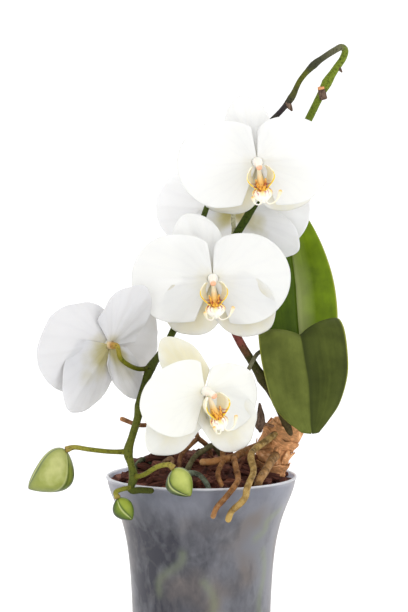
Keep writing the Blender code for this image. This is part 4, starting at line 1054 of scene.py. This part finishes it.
def inside_wall(points):
    """Points moved in towards the axis so far that they clear the pot's inner face."""
    reach = np.linalg.norm(points[:, :2], axis=1)
    room = flare(np.clip(POT_HEIGHT - points[:, 2], 0.0, None)) - POT_WALL - GAP
    points[:, :2] *= np.minimum(1.0, room / np.maximum(reach, 1e-6))[:, None]
    return points


def unit_block(cuts):
    """Points and faces of a cube one long with its faces cut into a grid."""
    mesh = bmesh.new()
    bmesh.ops.create_cube(mesh, size=1.0)
    bmesh.ops.subdivide_edges(mesh, edges=mesh.edges, cuts=cuts, use_grid_fill=True)
    points = np.array([v.co[:] for v in mesh.verts])
    faces = np.array([[v.index for v in f.verts] for f in mesh.faces])
    mesh.free()
    return points, faces


def turned_by(lean, tilt, spin):
    """A turning matrix: about X, then Y, then Z, in radians."""
    return np.array(Matrix.Rotation(spin, 3, "Z") @ Matrix.Rotation(tilt, 3, "Y")
                    @ Matrix.Rotation(lean, 3, "X"))


class ORCHID_OT_make_pot(bpy.types.Operator):
    """Make the frosted pot with its rolled lip"""
    bl_idname = "orchid.make_pot"
    bl_label = "Pot"

    def execute(self, context):
        foot = flare(POT_HEIGHT)
        above = np.linspace(BARK_EDGE, POT_HEIGHT - LIP_HEIGHT, 4)[1:]
        turn = np.radians(np.linspace(-60, 90, 9))
        roll = np.column_stack([flare(0.0) + LIP_OUT - LIP_ROLL + LIP_ROLL * np.cos(turn),
                                POT_HEIGHT - LIP_ROLL + LIP_ROLL * np.sin(turn)])
        profile = np.vstack([
            [(0.4, 0.0), (foot - 3.0, 0.0), (foot - 1.4, 0.15), (foot - 0.5, 0.8)],
            wall_profile(0.0, WALL_ROWS)[::-1], np.column_stack([flare(POT_HEIGHT - above), above]), roll,
            [(flare(0.4) - POT_WALL + 0.25, POT_HEIGHT - 0.15),
             (flare(1.2) - POT_WALL, POT_HEIGHT - 1.2)],
            wall_profile(POT_WALL, WALL_ROWS), [(0.4, POT_FLOOR)]])
        rings = turned_rings(profile, 220)
        root = np.zeros(rings.shape[:2])
        for values in INNER_ROOTS:
            for point in smooth_route(inner_root_route(*values), 1.0):
                away = np.linalg.norm(rings - point, axis=-1)
                root = np.maximum(root, np.exp(-(away / INNER_ROOT_SHADOW) ** 4))
        skin = Skin()
        skin.add_rings(rings, shares=root)
        finish = frosted_finish("frosted polypropylene", context.scene.orchid_pot)
        piece("pot_shell", skin, [finish], ["pot"])
        return {"FINISHED"}


class ORCHID_OT_make_bark(bpy.types.Operator):
    """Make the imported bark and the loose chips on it"""
    bl_idname = "orchid.make_bark"
    bl_label = "Bark"

    def execute(self, context):
        looks = context.scene.orchid_pot
        finish = bark_finish("pine bark", looks)
        side = wall_profile(POT_WALL + GAP, 60)[::-1]
        side[0, 1] = POT_FLOOR + GAP
        top = np.linspace(flare(POT_HEIGHT - BARK_EDGE) - POT_WALL - GAP, 0.5, 40)[1:]
        profile = np.vstack([[(0.5, POT_FLOOR + GAP)], side, np.column_stack([top, bark_top(top)])])
        rings = turned_rings(profile, 150)
        rough = lumps(rings, 5.0, 1.0) + 0.5 * lumps(rings, 2.2, 2.0)
        crown = (np.arange(len(profile)) > len(side))[:, None]
        heap = bark_top(0.0, rings[..., 0], rings[..., 1]) - bark_top(0.0)
        rings[..., 2] += np.where(crown, 1.3 * rough - 1.2 + heap, 0.0)
        inward = 1.0 - np.where(crown, 0.0, np.clip(rough + 0.3, 0.0, 1.0) * 0.02)
        inward[:2] = 1.0
        rings[..., :2] *= inward[..., None]
        core = Skin()
        core.add_rings(rings, rings / 3.0, np.full(len(rings), 0.2))
        piece("bark_core", core, [finish], ["bark"])

        # A chip is a block with soft edges, tapered, bent and ragged; each fifth lies at the wall.
        draw = random.Random(CHIP_SEED)
        block, faces = unit_block(4)
        block = block * (1.0 - 0.10 * (np.clip(np.abs(block) * 2, 0, 1).prod(axis=1) ** 0.5)[:, None])
        room = flare(2.0) - POT_WALL
        chips = Skin()
        for index in range(looks.chip_count):
            size = np.array([draw.uniform(8, 17), draw.uniform(5, 10.5), draw.uniform(2.2, 4.8)])
            taper = (1.0 + draw.uniform(-0.35, 0.35) * block[:, :1]
                     + draw.uniform(-0.2, 0.2) * block[:, 1:2])
            points = np.column_stack([block[:, 0], block[:, 1:] * taper]) * size
            points[:, 2] += draw.uniform(-0.02, 0.02) * points[:, 0] ** 2
            ragged = np.column_stack([lumps(points + index * 19.0, 2.6, s) for s in (3.0, 4.0, 5.0)])
            points = points + ragged * (0.9, 0.8, 0.45)
            cells = points + index * 31.0
            reach = room - 3.0 if index % 5 == 0 else draw.uniform(0, 1) ** 0.5 * (room - size[0] / 2)
            angle = draw.uniform(0, 2 * math.pi)
            x, y = reach * math.cos(angle), reach * math.sin(angle)
            turn = turned_by(math.radians(draw.uniform(-34, 34)), math.radians(draw.uniform(-26, 26)),
                             draw.uniform(0, 2 * math.pi))
            points = points @ turn.T + (x, y, bark_top(reach, x, y) + draw.uniform(-1.0, 1.8))
            chips.add(inside_wall(points), faces, (), cells, np.full(len(points), draw.uniform(0, 1)))
        piece("bark_chips", chips, [finish], ["bark"])
        return {"FINISHED"}


# ---------------------------------------------------------------- roots and stem

def inner_root_route(angle_a, height_a, angle_b, height_b):
    """A route against the inside of the pot's wall, between two angles and heights."""
    t = np.linspace(0, 1, 7)
    angle = np.radians(angle_a + (angle_b - angle_a) * t + 4 * np.sin(7 * t))
    height = height_a + (height_b - height_a) * t
    flat = (flare(POT_HEIGHT - height) - POT_WALL - GAP) * math.cos(math.pi / POT_FLATS)
    reach = flat - INNER_ROOT_RADIUS
    return np.column_stack([reach * np.cos(angle), reach * np.sin(angle), height])


class ORCHID_OT_make_inner_roots(bpy.types.Operator):
    """Make the roots that grow down the inside of the wall"""
    bl_idname = "orchid.make_inner_roots"
    bl_label = "Inner roots"

    def execute(self, context):
        finish = velamen_finish("green wet velamen", "9AAE78", "C4CDB0", "8FAE5A")
        for index, values in enumerate(INNER_ROOTS):
            route = smooth_route(inner_root_route(*values), 1.5)
            route, radii = rounded(route, INNER_ROOT_RADIUS * (1 + 0.08 * lumps(route, 9.0, index)))
            skin = Skin()
            skin.add_rings(tube_rings(route, radii, 16))
            name = f"inner_root_{index + 1}"
            piece(f"{name}_velamen", skin, [finish], [name])
        return {"FINISHED"}


class ORCHID_OT_make_roots(bpy.types.Operator):
    """Make the aerial roots, each with its side roots"""
    bl_idname = "orchid.make_roots"
    bl_label = "Aerial roots"

    def execute(self, context):
        for number, (name, (coat, dust, tip, slot)) in enumerate(ROOT_FINISHES.items()):
            finish = velamen_finish("velamen of " + name.replace("_", " "), coat, dust, tip)
            skin = Skin()
            for branch, (points, radius) in enumerate(ROOTS[name]):
                route = smooth_route(points, 0.9)
                along = np.linspace(0, 1, len(route))
                uneven = 0.10 * lumps(route, 8.0, number) + 0.05 * lumps(route, 2.5, number + 0.5)
                route, radii = rounded(route, radius * (1 - 0.15 * along) * (1 + uneven), start=False)
                skin.add_rings(rough_rings(route, radii, 22, 0.05, 1.6, number + branch))
            piece(f"{name}_velamen", skin, [finish], [name])
        return {"FINISHED"}


def at_heights(heights, along, points):
    """The points of a line of straight steps at distances along it."""
    return np.column_stack([np.interp(heights, along, column) for column in points.T])


class ORCHID_OT_make_stem(bpy.types.Operator):
    """Make the corky stem and the torn dry sheaths round it"""
    bl_idname = "orchid.make_stem"
    bl_label = "Stem"

    def execute(self, context):
        looks = context.scene.orchid_plant
        coarse = np.array(STEM_ROUTE, float)
        along = lengths(coarse)
        fine = np.linspace(0, along[-1], 90)
        route, radii = at_heights(fine, along, coarse), np.interp(fine, along, STEM_RADII)
        rings = tube_rings(route, radii, 72)
        relief = 0.05 * lumps(rings, 4.0, 1.0) + 0.03 * lumps(rings * (1, 1, 0.3), 1.2, 2.0)
        stem = Skin()
        stem.add_rings(swollen(rings, route, relief))
        piece("stem_cork", stem, [cork_finish("cork of old stem", looks)], ["stem_base"])

        sheaths = Skin()
        frames = ring_frames(route)
        for number, (foot, tall, opening) in enumerate(SHEATHS):
            angles = np.linspace(opening, opening + 2 * math.pi - SHEATH_SLIT, 70)
            circle = np.column_stack([np.cos(angles), np.sin(angles), angles * 0])
            ragged = 1 + 0.35 * lumps(circle * 9, 3.0, number)
            rows = []
            for level in np.linspace(0, 1, 9):
                height = foot + level * tall * ragged
                nearest = np.clip(np.searchsorted(fine, height), 0, len(fine) - 1)
                across = np.sum(frames[nearest] * circle[:, :2, None], axis=1)
                reach = np.interp(height, fine, radii) + 0.5 + 1.3 * level ** 2
                rows.append(at_heights(height, along, coarse) + across * reach[:, None])
            sheaths.add_sheet(np.array(rows), 0.5)
        piece("stem_sheaths", sheaths, [cork_finish("dry leaf sheath", looks)],
              ["stem_base"])
        return {"FINISHED"}


class ORCHID_OT_make_dead_bud(bpy.types.Operator):
    """Make the dried bud on its thin stalk"""
    bl_idname = "orchid.make_dead_bud"
    bl_label = "Dried bud"

    def execute(self, context):
        skin = Skin()
        route = smooth_route(DEAD_STALK, 0.8)
        rings = tube_rings(route, 1.0 + 0.12 * lumps(route, 3.0), 14)
        skin.add_rings(rings, shares=np.full(len(route), 0.55))
        route, radii = rounded_through(DEAD_HEAD, DEAD_HEAD_RADII, 0.5)
        pleats = 1 + 0.14 * np.cos(7 * turns(40))
        skin.add_rings(rough_rings(route, radii, 40, 0.16, 1.8, 3.0, pleats), shares=np.zeros(len(route)))
        piece("dead_bud_husk", skin, [husk_finish("dried husk", context.scene.orchid_plant)],
              ["dead_bud"])
        return {"FINISHED"}


# ---------------------------------------------------------------- leaves

def leaf_middle(stations, bulge):
    """The middle surface of a leaf through its stations, with a rounded tip. Its halves bulge by a
    share of its width, with a groove between them."""
    midrib, left, right = (smooth_route(line, each=LEAF_ROWS) for line in zip(*stations))
    cap = np.radians(np.linspace(0, 86, 8))[1:, None]
    reach = 0.5 * np.linalg.norm(left[-1] - right[-1])
    tip = midrib[-1] + unit(midrib[-1] - midrib[-3]) * reach * 0.25 * np.sin(cap)
    left, right = (np.vstack([edge, tip + (edge[-1] - midrib[-1]) * np.cos(cap)])
                   for edge in (left, right))
    midrib = np.vstack([midrib, tip])[:, None]
    s = np.linspace(-1, 1, LEAF_COLUMNS)[None]
    side = np.where(s[..., None] < 0, left[:, None], right[:, None])
    flat = midrib + (side - midrib) * np.abs(s)[..., None]
    width = np.linalg.norm(left - right, axis=1)[:, None]
    belly = bulge * width * np.sin(math.pi * np.abs(s)) ** 0.7
    groove = -0.45 * np.exp(-(np.abs(s) * width / 2 / 1.3) ** 2)
    waves = 0.5 * lumps(flat, 22.0, 4.0) * np.abs(s)
    rise = np.minimum(1.0, np.linspace(0, 12, len(width)))[:, None]
    return flat + normals(flat) * ((belly + groove + waves) * rise)[..., None]


class ORCHID_OT_make_leaves(bpy.types.Operator):
    """Make the two leaves"""
    bl_idname = "orchid.make_leaves"
    bl_label = "Leaves"

    def execute(self, context):
        looks = context.scene.orchid_plant
        waxy = leaf_finish("glossy leaf cuticle", looks.upper_painted_shade, looks.upper_painted_light,
                           looks.margin_yellow, 0.36, looks.upper_painted_highlight, 0.9, 0.8)
        matt = leaf_finish("matt leaf cuticle", looks.lower_painted_light, looks.lower_painted_shade,
                           looks.margin_yellow, 0.55, looks.lower_painted_crease_shade, 0.8, 1.6)
        out = np.abs(np.linspace(-1, 1, LEAF_COLUMNS))
        thick = (looks.leaf_middle + (looks.leaf_margin - looks.leaf_middle) * out) / MM
        thick = thick * (1 - 0.6 * out ** 30)
        for name, stations, finish, slot, bulge in (
                ("leaf_upper", LEAF_UPPER, waxy, "leaf_bright", 0.035),
                ("leaf_lower", LEAF_LOWER, matt, "leaf_olive", -0.06)):
            skin = Skin()
            skin.add_sheet(leaf_middle(stations, bulge), thick)
            piece(f"{name}_blade", skin, [finish], [name])
        return {"FINISHED"}


# ---------------------------------------------------------------- spike

def spike_radius(points, share):
    """Radius of the spike: it thins towards its tip and swells at each node, where a fine ridge
    marks an old sheath."""
    radius = np.interp(share, *np.transpose(SPIKE_RADII))
    away = np.min([np.linalg.norm(points - np.array(node), axis=1) for node in SPIKE_NODES], axis=0)
    swell = SPIKE_NODE_SWELL * np.exp(-(away / SPIKE_NODE_LENGTH) ** 2)
    return radius * (1 + swell + 0.07 * np.exp(-(away / 0.8) ** 2))


def stalk_end(bloom):
    """The last two points of a flower stalk: it meets the heart of the bloom square."""
    return placed(bloom, [(0, 0, -HEART_DEPTH - 5.0), (0, 0, -HEART_DEPTH - GAP)])


def stalk_skin(points, foot, swell, neck):
    """The skin of a stalk that widens at its foot, and swells over its neck below the flower."""
    route = smooth_route(points, 0.7)
    t = np.linspace(0, 1, len(route))
    radii = STALK_RADIUS * (1 + 0.35 * np.exp(-(t / foot) ** 2) + swell * np.exp(-((1 - t) / neck) ** 2))
    skin = Skin()
    skin.add_rings(tube_rings(route, radii, 18))
    return skin


class ORCHID_OT_make_spike(bpy.types.Operator):
    """Make the flower spike, the stalks of its blooms and buds and its dry bracts"""
    bl_idname = "orchid.make_spike"
    bl_label = "Spike"

    def execute(self, context):
        last = len(SPIKE_ROUTE) - 1
        route = smooth_route(SPIKE_ROUTE, 0.9)
        knots = spread(np.arange(last + 1) / last, SPIKE_ROUTE, route)
        radii = spike_radius(route, np.linspace(0, 1, len(route))) * (1 + 0.03 * lumps(route, 5.0, 8.0))
        route, radii = rounded(route, radii, start=False)
        skin = Skin()
        skin.add_rings(rough_rings(route, radii, 26, 0.025, 1.5, 9.0),
                       shares=np.concatenate([knots, np.ones(DOME_RINGS)]))
        stops = [(place / last, colour) for place, colour in SPIKE_COLOURS]
        rind = green_stem_finish("spike rind", stops)
        piece("spike_stem", skin, [rind], ["flower_spike"])

        for number, (points, bloom) in enumerate(zip(FLOWER_STALKS, BLOOMS), 1):
            skin = stalk_skin(np.vstack([points, stalk_end(bloom)]), 0.10, 0.45, 0.08)
            rind = green_stem_finish(f"flower stalk rind {number}", STALK_COLOURS[number - 1])
            piece(f"flower_stalk_{number}", skin, [rind], ["flower_spike"])
        rind = green_stem_finish("bud stalk rind", BUD_STALK_COLOURS)
        for number, (points, *_) in enumerate(BUDS, 1):
            skin = stalk_skin(points, 0.12, 0.4, 0.10)
            piece(f"bud_stalk_{number}", skin, [rind], ["flower_spike"])

        skin = Skin()
        t = np.linspace(0, 1, 14)
        for number, (foot, tip, radius, left) in enumerate(BRACTS):
            route = foot + (np.array(tip, float) - foot) * t[:, None]
            rings = rough_rings(route, radius * (1 - (1 - left) * t ** 1.6), 20, 0.10, 1.5, number)
            skin.add_rings(rings, shares=np.where(t > 0.80, left, 0.0))
        piece("spike_bracts", skin, [husk_finish("dry bract", context.scene.orchid_plant)],
              ["flower_spike"])
        return {"FINISHED"}


# ---------------------------------------------------------------- buds

class ORCHID_OT_make_buds(bpy.types.Operator):
    """Make the three closed buds"""
    bl_idname = "orchid.make_buds"
    bl_label = "Buds"

    def execute(self, context):
        t = (1 - np.cos(np.linspace(0.04, math.pi - 0.04, 60)))[:, None] / 2
        turn = turns(120)
        swell = np.sin(math.pi * t ** 0.8) ** 0.75
        for number, (route, tip, radius, bulge) in enumerate(BUDS):
            start, tip = np.array(route[-1], float), np.array(tip, float)
            axis = unit(tip - start)
            start = start + axis * GAP
            side = np.array(Vector(axis).orthogonal().normalized())
            above = np.cross(axis, side)
            first = math.atan2(np.dot(BUD_SEAMS[number], above), np.dot(BUD_SEAMS[number], side))
            swirl = turn - first + 0.5 * (t - 0.5)
            past = (swirl + math.pi / 3) % (2 * math.pi / 3) - math.pi / 3
            seam = np.exp(-(past / 0.07) ** 2)
            flap = np.where(past > 0, 0.045 * np.exp(-past / 0.30), 0.0) * np.sin(math.pi * t)
            reach = radius * swell * (1 + 0.05 * np.cos(3 * (swirl + math.pi / 3)) + flap)
            long = np.linalg.norm(tip - start)
            centre = start + axis * long * t + np.array(bulge) * np.sin(math.pi * t)
            across = side * np.cos(turn)[:, None] + above * np.sin(turn)[:, None]
            # Painted shade: each bud is darker on the side away from its lit side and towards its tip.
            shadow = 0.5 - 0.5 * (across @ np.array(BUD_LIT_SIDE)) + 0.25 * (t - 0.5)
            # Painted shadow: a dark line beside each seam, where the overlapping sepal's edge would cast
            # it.
            shadow = shadow + 0.35 * np.exp(-((past + 0.16) / 0.10) ** 2)
            skin = Skin()
            skin.add_rings(centre[:, None] + across * reach[..., None], grid(0.6 * seam, shadow, 0.0), t)
            finish = bud_finish(f"bud skin {number + 1}", context.scene.orchid_bloom, BUD_LIGHT_AND_SHADE[number])
            piece(f"bud_{number + 1}_sepals", skin, [finish], [f"bud_{number + 1}"])
        return {"FINISHED"}


# ---------------------------------------------------------------- blooms

def placed(bloom, points):
    """Points of a bloom's own frame, in millimetres, in the plant's. The frame has x to the right,
    y up and z towards the face."""
    turn, nod = math.radians(bloom.turn), math.radians(bloom.nod)
    right = np.array((math.cos(turn), math.sin(turn), 0.0))
    out = np.array((math.sin(turn), -math.cos(turn), 0.0))
    rise = np.array((0.0, 0.0, 1.0))
    up = rise * math.cos(nod) + out * math.sin(nod)
    face = (out * math.cos(nod) - rise * math.sin(nod)) * bloom.faces
    return np.array(bloom.centre) + np.asarray(points, float) @ np.array([right, up, face])


def rolled(bloom, points):
    """Points turned with the column in the bloom's plane, then placed."""
    turn = np.array(Matrix.Rotation(math.radians(bloom.roll), 3, "Z"))
    return placed(bloom, np.asarray(points, float) @ turn.T)


def swung(a, b, angle):
    """Two coordinates after a turn in their plane, from the second towards the first."""
    return a * np.cos(angle) + b * np.sin(angle), b * np.cos(angle) - a * np.sin(angle)


def tepal_middle(tepal, rows, columns, fold, seed, point):
    """The middle surface of a sepal or petal in its bloom's frame. A sepal has a point; a petal's
    is zero."""
    out = (TEPAL_BASE + (1 - TEPAL_BASE) * np.linspace(0, 1, rows))[:, None]
    across = np.linspace(-1, 1, columns)[None]
    fan = np.radians(np.where(across > 0, *tepal.fan)) * across
    bow = np.sin(2 * fan)
    square = np.sign(bow) * np.abs(bow) ** TEPAL_SHOULDER
    x = out * tepal.width / 2 * np.where(np.abs(fan) > math.pi / 4, square, bow)
    y = out * tepal.length / 2 * (1 + np.cos(2 * fan)) + point * np.exp(-(fan / 0.17) ** 2) * out ** 5
    along = y / tepal.length
    x = x * (1 + tepal.skew * (along - 0.5))
    z = tepal.cup * tepal.width / 2 * (2 * x / tepal.width) ** 2 + tepal.arch * tepal.length * along ** 2
    z = z + tepal.ruffle * np.sin(10 * fan + tepal.phase) * out ** 3 * np.abs(np.sin(fan))

    # Broad and fine folds, pleats, the sepals' lean, the groove of the midrib and the turned rim.
    flat = grid(x, y, 0.0)
    z = z + fold * out * lumps(flat, 15.0, seed)
    z = z + 0.5 * fold * out ** 3 * lumps(flat, 6.0, seed + 0.3)
    pleat = 0.45 if point and tepal.angle > 0 else 0.16
    z = z + pleat * np.sin(13 * fan + seed) * out * (1 + lumps(flat, 12.0, seed + 0.8))
    z = z - (1.2 * out if point else 0.0)
    z = z - 0.55 * np.exp(-(x / 1.7) ** 2) * (1 - 0.6 * along)
    z = z - 1.2 * out ** 9 * (0.6 + 0.6 * lumps(flat, 9.0, seed + 0.6))
    x, z = swung(x, z, np.radians(tepal.twist) * along)
    y, z = swung(y, z, math.radians(tepal.sweep))
    x, y = swung(x, y, -math.radians(tepal.angle - 90))
    return grid(x, y, z + tepal.rise)


class ORCHID_OT_make_blooms(bpy.types.Operator):
    """Make the sepals, petals and column of each open bloom"""
    bl_idname = "orchid.make_blooms"
    bl_label = "Blooms"

    def execute(self, context):
        looks = context.scene.orchid_bloom
        wax = column_finish("waxy column")
        for number, bloom in enumerate(BLOOMS, 1):
            tissue = petal_finish(f"petal tissue {number}", looks, BLOOM_PAINTED_SHADE[number - 1])
            sepals, petals, column = Skin(), Skin(), Skin()
            for index, tepal in enumerate(bloom.tepals):
                skin, rows, columns, fold, point = (
                    (petals, 44, 81, 1.0, 0.0) if index > 2 else (sepals, 40, 57, 0.7, 1.8))
                middle = tepal_middle(tepal, rows, columns, looks.fold / MM * fold,
                                      number * 10 + index, point)
                out = np.linspace(0, 1, rows)[:, None]
                thick = (looks.tepal_base + (looks.tepal_rim - looks.tepal_base) * out ** 0.6) / MM
                skin.add_sheet(middle, thick, share=CREAM_AND_SHADE[number - 1][index],
                               place=partial(placed, bloom))

            # The column is hollowed underneath, below its cap.
            route, radii = rounded_through(COLUMN_ROUTE, COLUMN_RADII, 0.35)
            share = lengths(route[DOME_RINGS:-DOME_RINGS])
            share = np.concatenate([np.zeros(DOME_RINGS), 0.9 * (share / share[-1]),
                                    np.linspace(0.93, 1.0, DOME_RINGS)])
            rings = tube_rings(route, radii, 30)
            under = np.clip(-(rings - route[:, None])[..., 1] / np.maximum(radii, 0.1)[:, None], 0, 1)
            hollow = np.exp(-((share - 0.80) / 0.07) ** 2)[:, None] * under ** 3
            column.add_rings(rolled(bloom, swollen(rings, route, -0.45 * hollow)), shares=share)
            replaced = [f"bloom_{number}_tepals"]
            piece(f"bloom_{number}_sepals", sepals, [tissue], replaced)
            piece(f"bloom_{number}_petals", petals, [tissue], replaced)
            piece(f"bloom_{number}_column", column, [wax], replaced)
        return {"FINISHED"}


def side_lobe(side):
    """The middle surface and cells of one of the two lobes that stand beside the column and close
    over it."""
    up = np.linspace(0, 1, 34)[:, None]
    bend = np.linspace(-1, 1, 26)[None] * side
    wide = 4.6 * np.sin(math.pi * (0.12 + 0.80 * up)) ** 0.7
    x = side * (2.2 + 7.0 * np.sin(0.78 * math.pi * up)) - side * np.abs(bend) * 0.8
    x = x - side * 1.3 * up ** 6 - side * 0.36 * wide * (1 - bend)
    y = -17.0 + 15.5 * up + 0.3 * np.sin(7 * up) * bend
    return grid(x, y, 7.4 + 0.8 * up + bend * wide), grid(bend, up)


def middle_lobe():
    """The middle surface and cells of the lobe that runs forward and down to a narrow point."""
    down = np.linspace(0, 1, 34)[:, None]
    side = np.linspace(1, -1, 31)[None]
    wide = 1.4 + 4.8 * np.sin(math.pi * down ** 0.8) ** 1.2
    keel = 0.5 * np.exp(-(side / 0.12) ** 2) * (1 - down)
    z = 7.5 + 4.5 * np.sin(1.9 * down) - np.abs(side) * 1.2 + keel
    return grid(side * wide, -14.0 - 9.5 * down, z), grid(side, down)


class ORCHID_OT_make_lips(bpy.types.Operator):
    """Make the lip of each open bloom, with its callus, its lobes and its two tendrils"""
    bl_idname = "orchid.make_lips"
    bl_label = "Lips"

    def execute(self, context):
        looks = context.scene.orchid_bloom
        finishes = [callus_finish("golden callus", looks), lobe_finish("lip side lobe", looks),
                    middle_lobe_finish("lip middle lobe", looks)]
        for number, bloom in enumerate(BLOOMS, 1):
            skin = Skin()
            place = partial(rolled, bloom)
            route, radii = rounded_through(CLAW_ROUTE, CLAW_RADII, 0.5)
            skin.add_rings(place(tube_rings(route, radii, 24)))
            for side in (-1, 1):
                route = smooth_route([(side * x, y, z) for x, y, z in CALLUS_RIDGE], 0.4)
                route, radii = rounded(route, np.linspace(0.55, 1.1, len(route)))
                skin.add_rings(place(tube_rings(route, radii, 16)),
                               shares=np.linspace(0.6, 1.0, len(route)))
            for finish, (middle, cells) in ((1, side_lobe(-1)), (1, side_lobe(1)), (2, middle_lobe())):
                skin.add_sheet(middle, looks.lip_thickness / MM, cells, finish=finish, place=place)
            for points in (TENDRIL_OUT, TENDRIL_IN):
                route, radii = rounded_through(points, TENDRIL_RADII, 0.4)
                skin.add_rings(place(tube_rings(route, radii, 12)),
                               shares=0.75 * np.linspace(0, 1, len(route)) ** 6)
            piece(f"bloom_{number}_labellum", skin, finishes, [f"bloom_{number}_lip"])
        return {"FINISHED"}


# ---------------------------------------------------------------- stage

class ORCHID_OT_make_stage(bpy.types.Operator):
    """Make the floor, the lights, the white room and the camera"""
    bl_idname = "orchid.make_stage"
    bl_label = "Stage"

    def execute(self, context):
        looks = context.scene.orchid_stage
        scene = context.scene
        mesh = bpy.data.meshes.new("floor")
        corners = [(x * FLOOR_HALF, y * FLOOR_HALF, 0) for x, y in ((-1, -1), (1, -1), (1, 1), (-1, 1))]
        mesh.from_pydata(corners, [], [(0, 1, 2, 3)])
        mesh.materials.append(floor_finish("matt studio paper", looks))
        floor = bpy.data.objects.new("floor", mesh)
        floor.location.z = -FLOOR_DROP
        scene.collection.objects.link(floor)

        world = bpy.data.worlds.new("white room")
        world.use_nodes = True
        sky = world.node_tree.nodes["Background"]
        wire(world.node_tree, sky, {"Color": "FFFFFF", "Strength": looks.sky})
        scene.world = world
        for name, power, wide, tall, place in (("key", looks.key, 0.9, 0.9, KEY_PLACE),
                                               ("side", looks.fill, 0.25, 0.9, SIDE_PLACE)):
            lamp = bpy.data.lights.new(name, "AREA")
            lamp.shape, lamp.size, lamp.size_y, lamp.energy = "RECTANGLE", wide, tall, power
            light = bpy.data.objects.new(name, lamp)
            light.location = place
            light.rotation_euler = (Vector(LAMP_AIM) - Vector(place)).to_track_quat("-Z", "Y").to_euler()
            scene.collection.objects.link(light)

        lens = bpy.data.cameras.new("camera")
        lens.lens, lens.sensor_width, lens.sensor_fit = CAMERA_LENS, CAMERA_SENSOR, "AUTO"
        camera = bpy.data.objects.new("camera", lens)
        camera.location = CAMERA_PLACE
        camera.rotation_euler = (math.radians(90.0 - CAMERA_DOWN), 0.0, 0.0)
        scene.collection.objects.link(camera)
        scene.camera = camera
        scene.view_settings.view_transform = "Standard"
        return {"FINISHED"}


OPERATORS = (
    ORCHID_OT_make_pot, ORCHID_OT_make_bark, ORCHID_OT_make_inner_roots, ORCHID_OT_make_roots,
    ORCHID_OT_make_stem, ORCHID_OT_make_dead_bud, ORCHID_OT_make_leaves, ORCHID_OT_make_spike,
    ORCHID_OT_make_buds, ORCHID_OT_make_blooms, ORCHID_OT_make_lips, ORCHID_OT_make_stage)
LOOKS = {"orchid_bloom": ORCHID_bloom_looks, "orchid_plant": ORCHID_plant_looks,
         "orchid_pot": ORCHID_pot_looks, "orchid_stage": ORCHID_stage_looks}


class ORCHID_PT_panel(bpy.types.Panel):
    """The sizes and colours of the orchid and the steps that make it"""
    bl_label = "Orchid"
    bl_space_type = "VIEW_3D"
    bl_region_type = "UI"
    bl_category = "Orchid"

    def draw(self, context):
        for step in OPERATORS:
            self.layout.operator(step.bl_idname)
        for name in LOOKS:
            group = getattr(context.scene, name)
            box = self.layout.box()
            for prop in group.bl_rna.properties:
                if not prop.is_readonly and prop.identifier != "name":
                    box.prop(group, prop.identifier)


def register():
    """Register the property groups, the operators and the panel."""
    for name, group in LOOKS.items():
        bpy.utils.register_class(group)
        setattr(bpy.types.Scene, name, bpy.props.PointerProperty(type=group))
    for made in (*OPERATORS, ORCHID_PT_panel):
        bpy.utils.register_class(made)


def unregister():
    """Take back what register did."""
    for made in (ORCHID_PT_panel, *reversed(OPERATORS)):
        bpy.utils.unregister_class(made)
    for name, group in reversed(LOOKS.items()):
        delattr(bpy.types.Scene, name)
        bpy.utils.unregister_class(group)


def main():
    """Make every piece in order."""
    register()
    for step in OPERATORS:
        family, name = step.bl_idname.split(".")
        getattr(getattr(bpy.ops, family), name)()


if __name__ == "__main__":
    main()
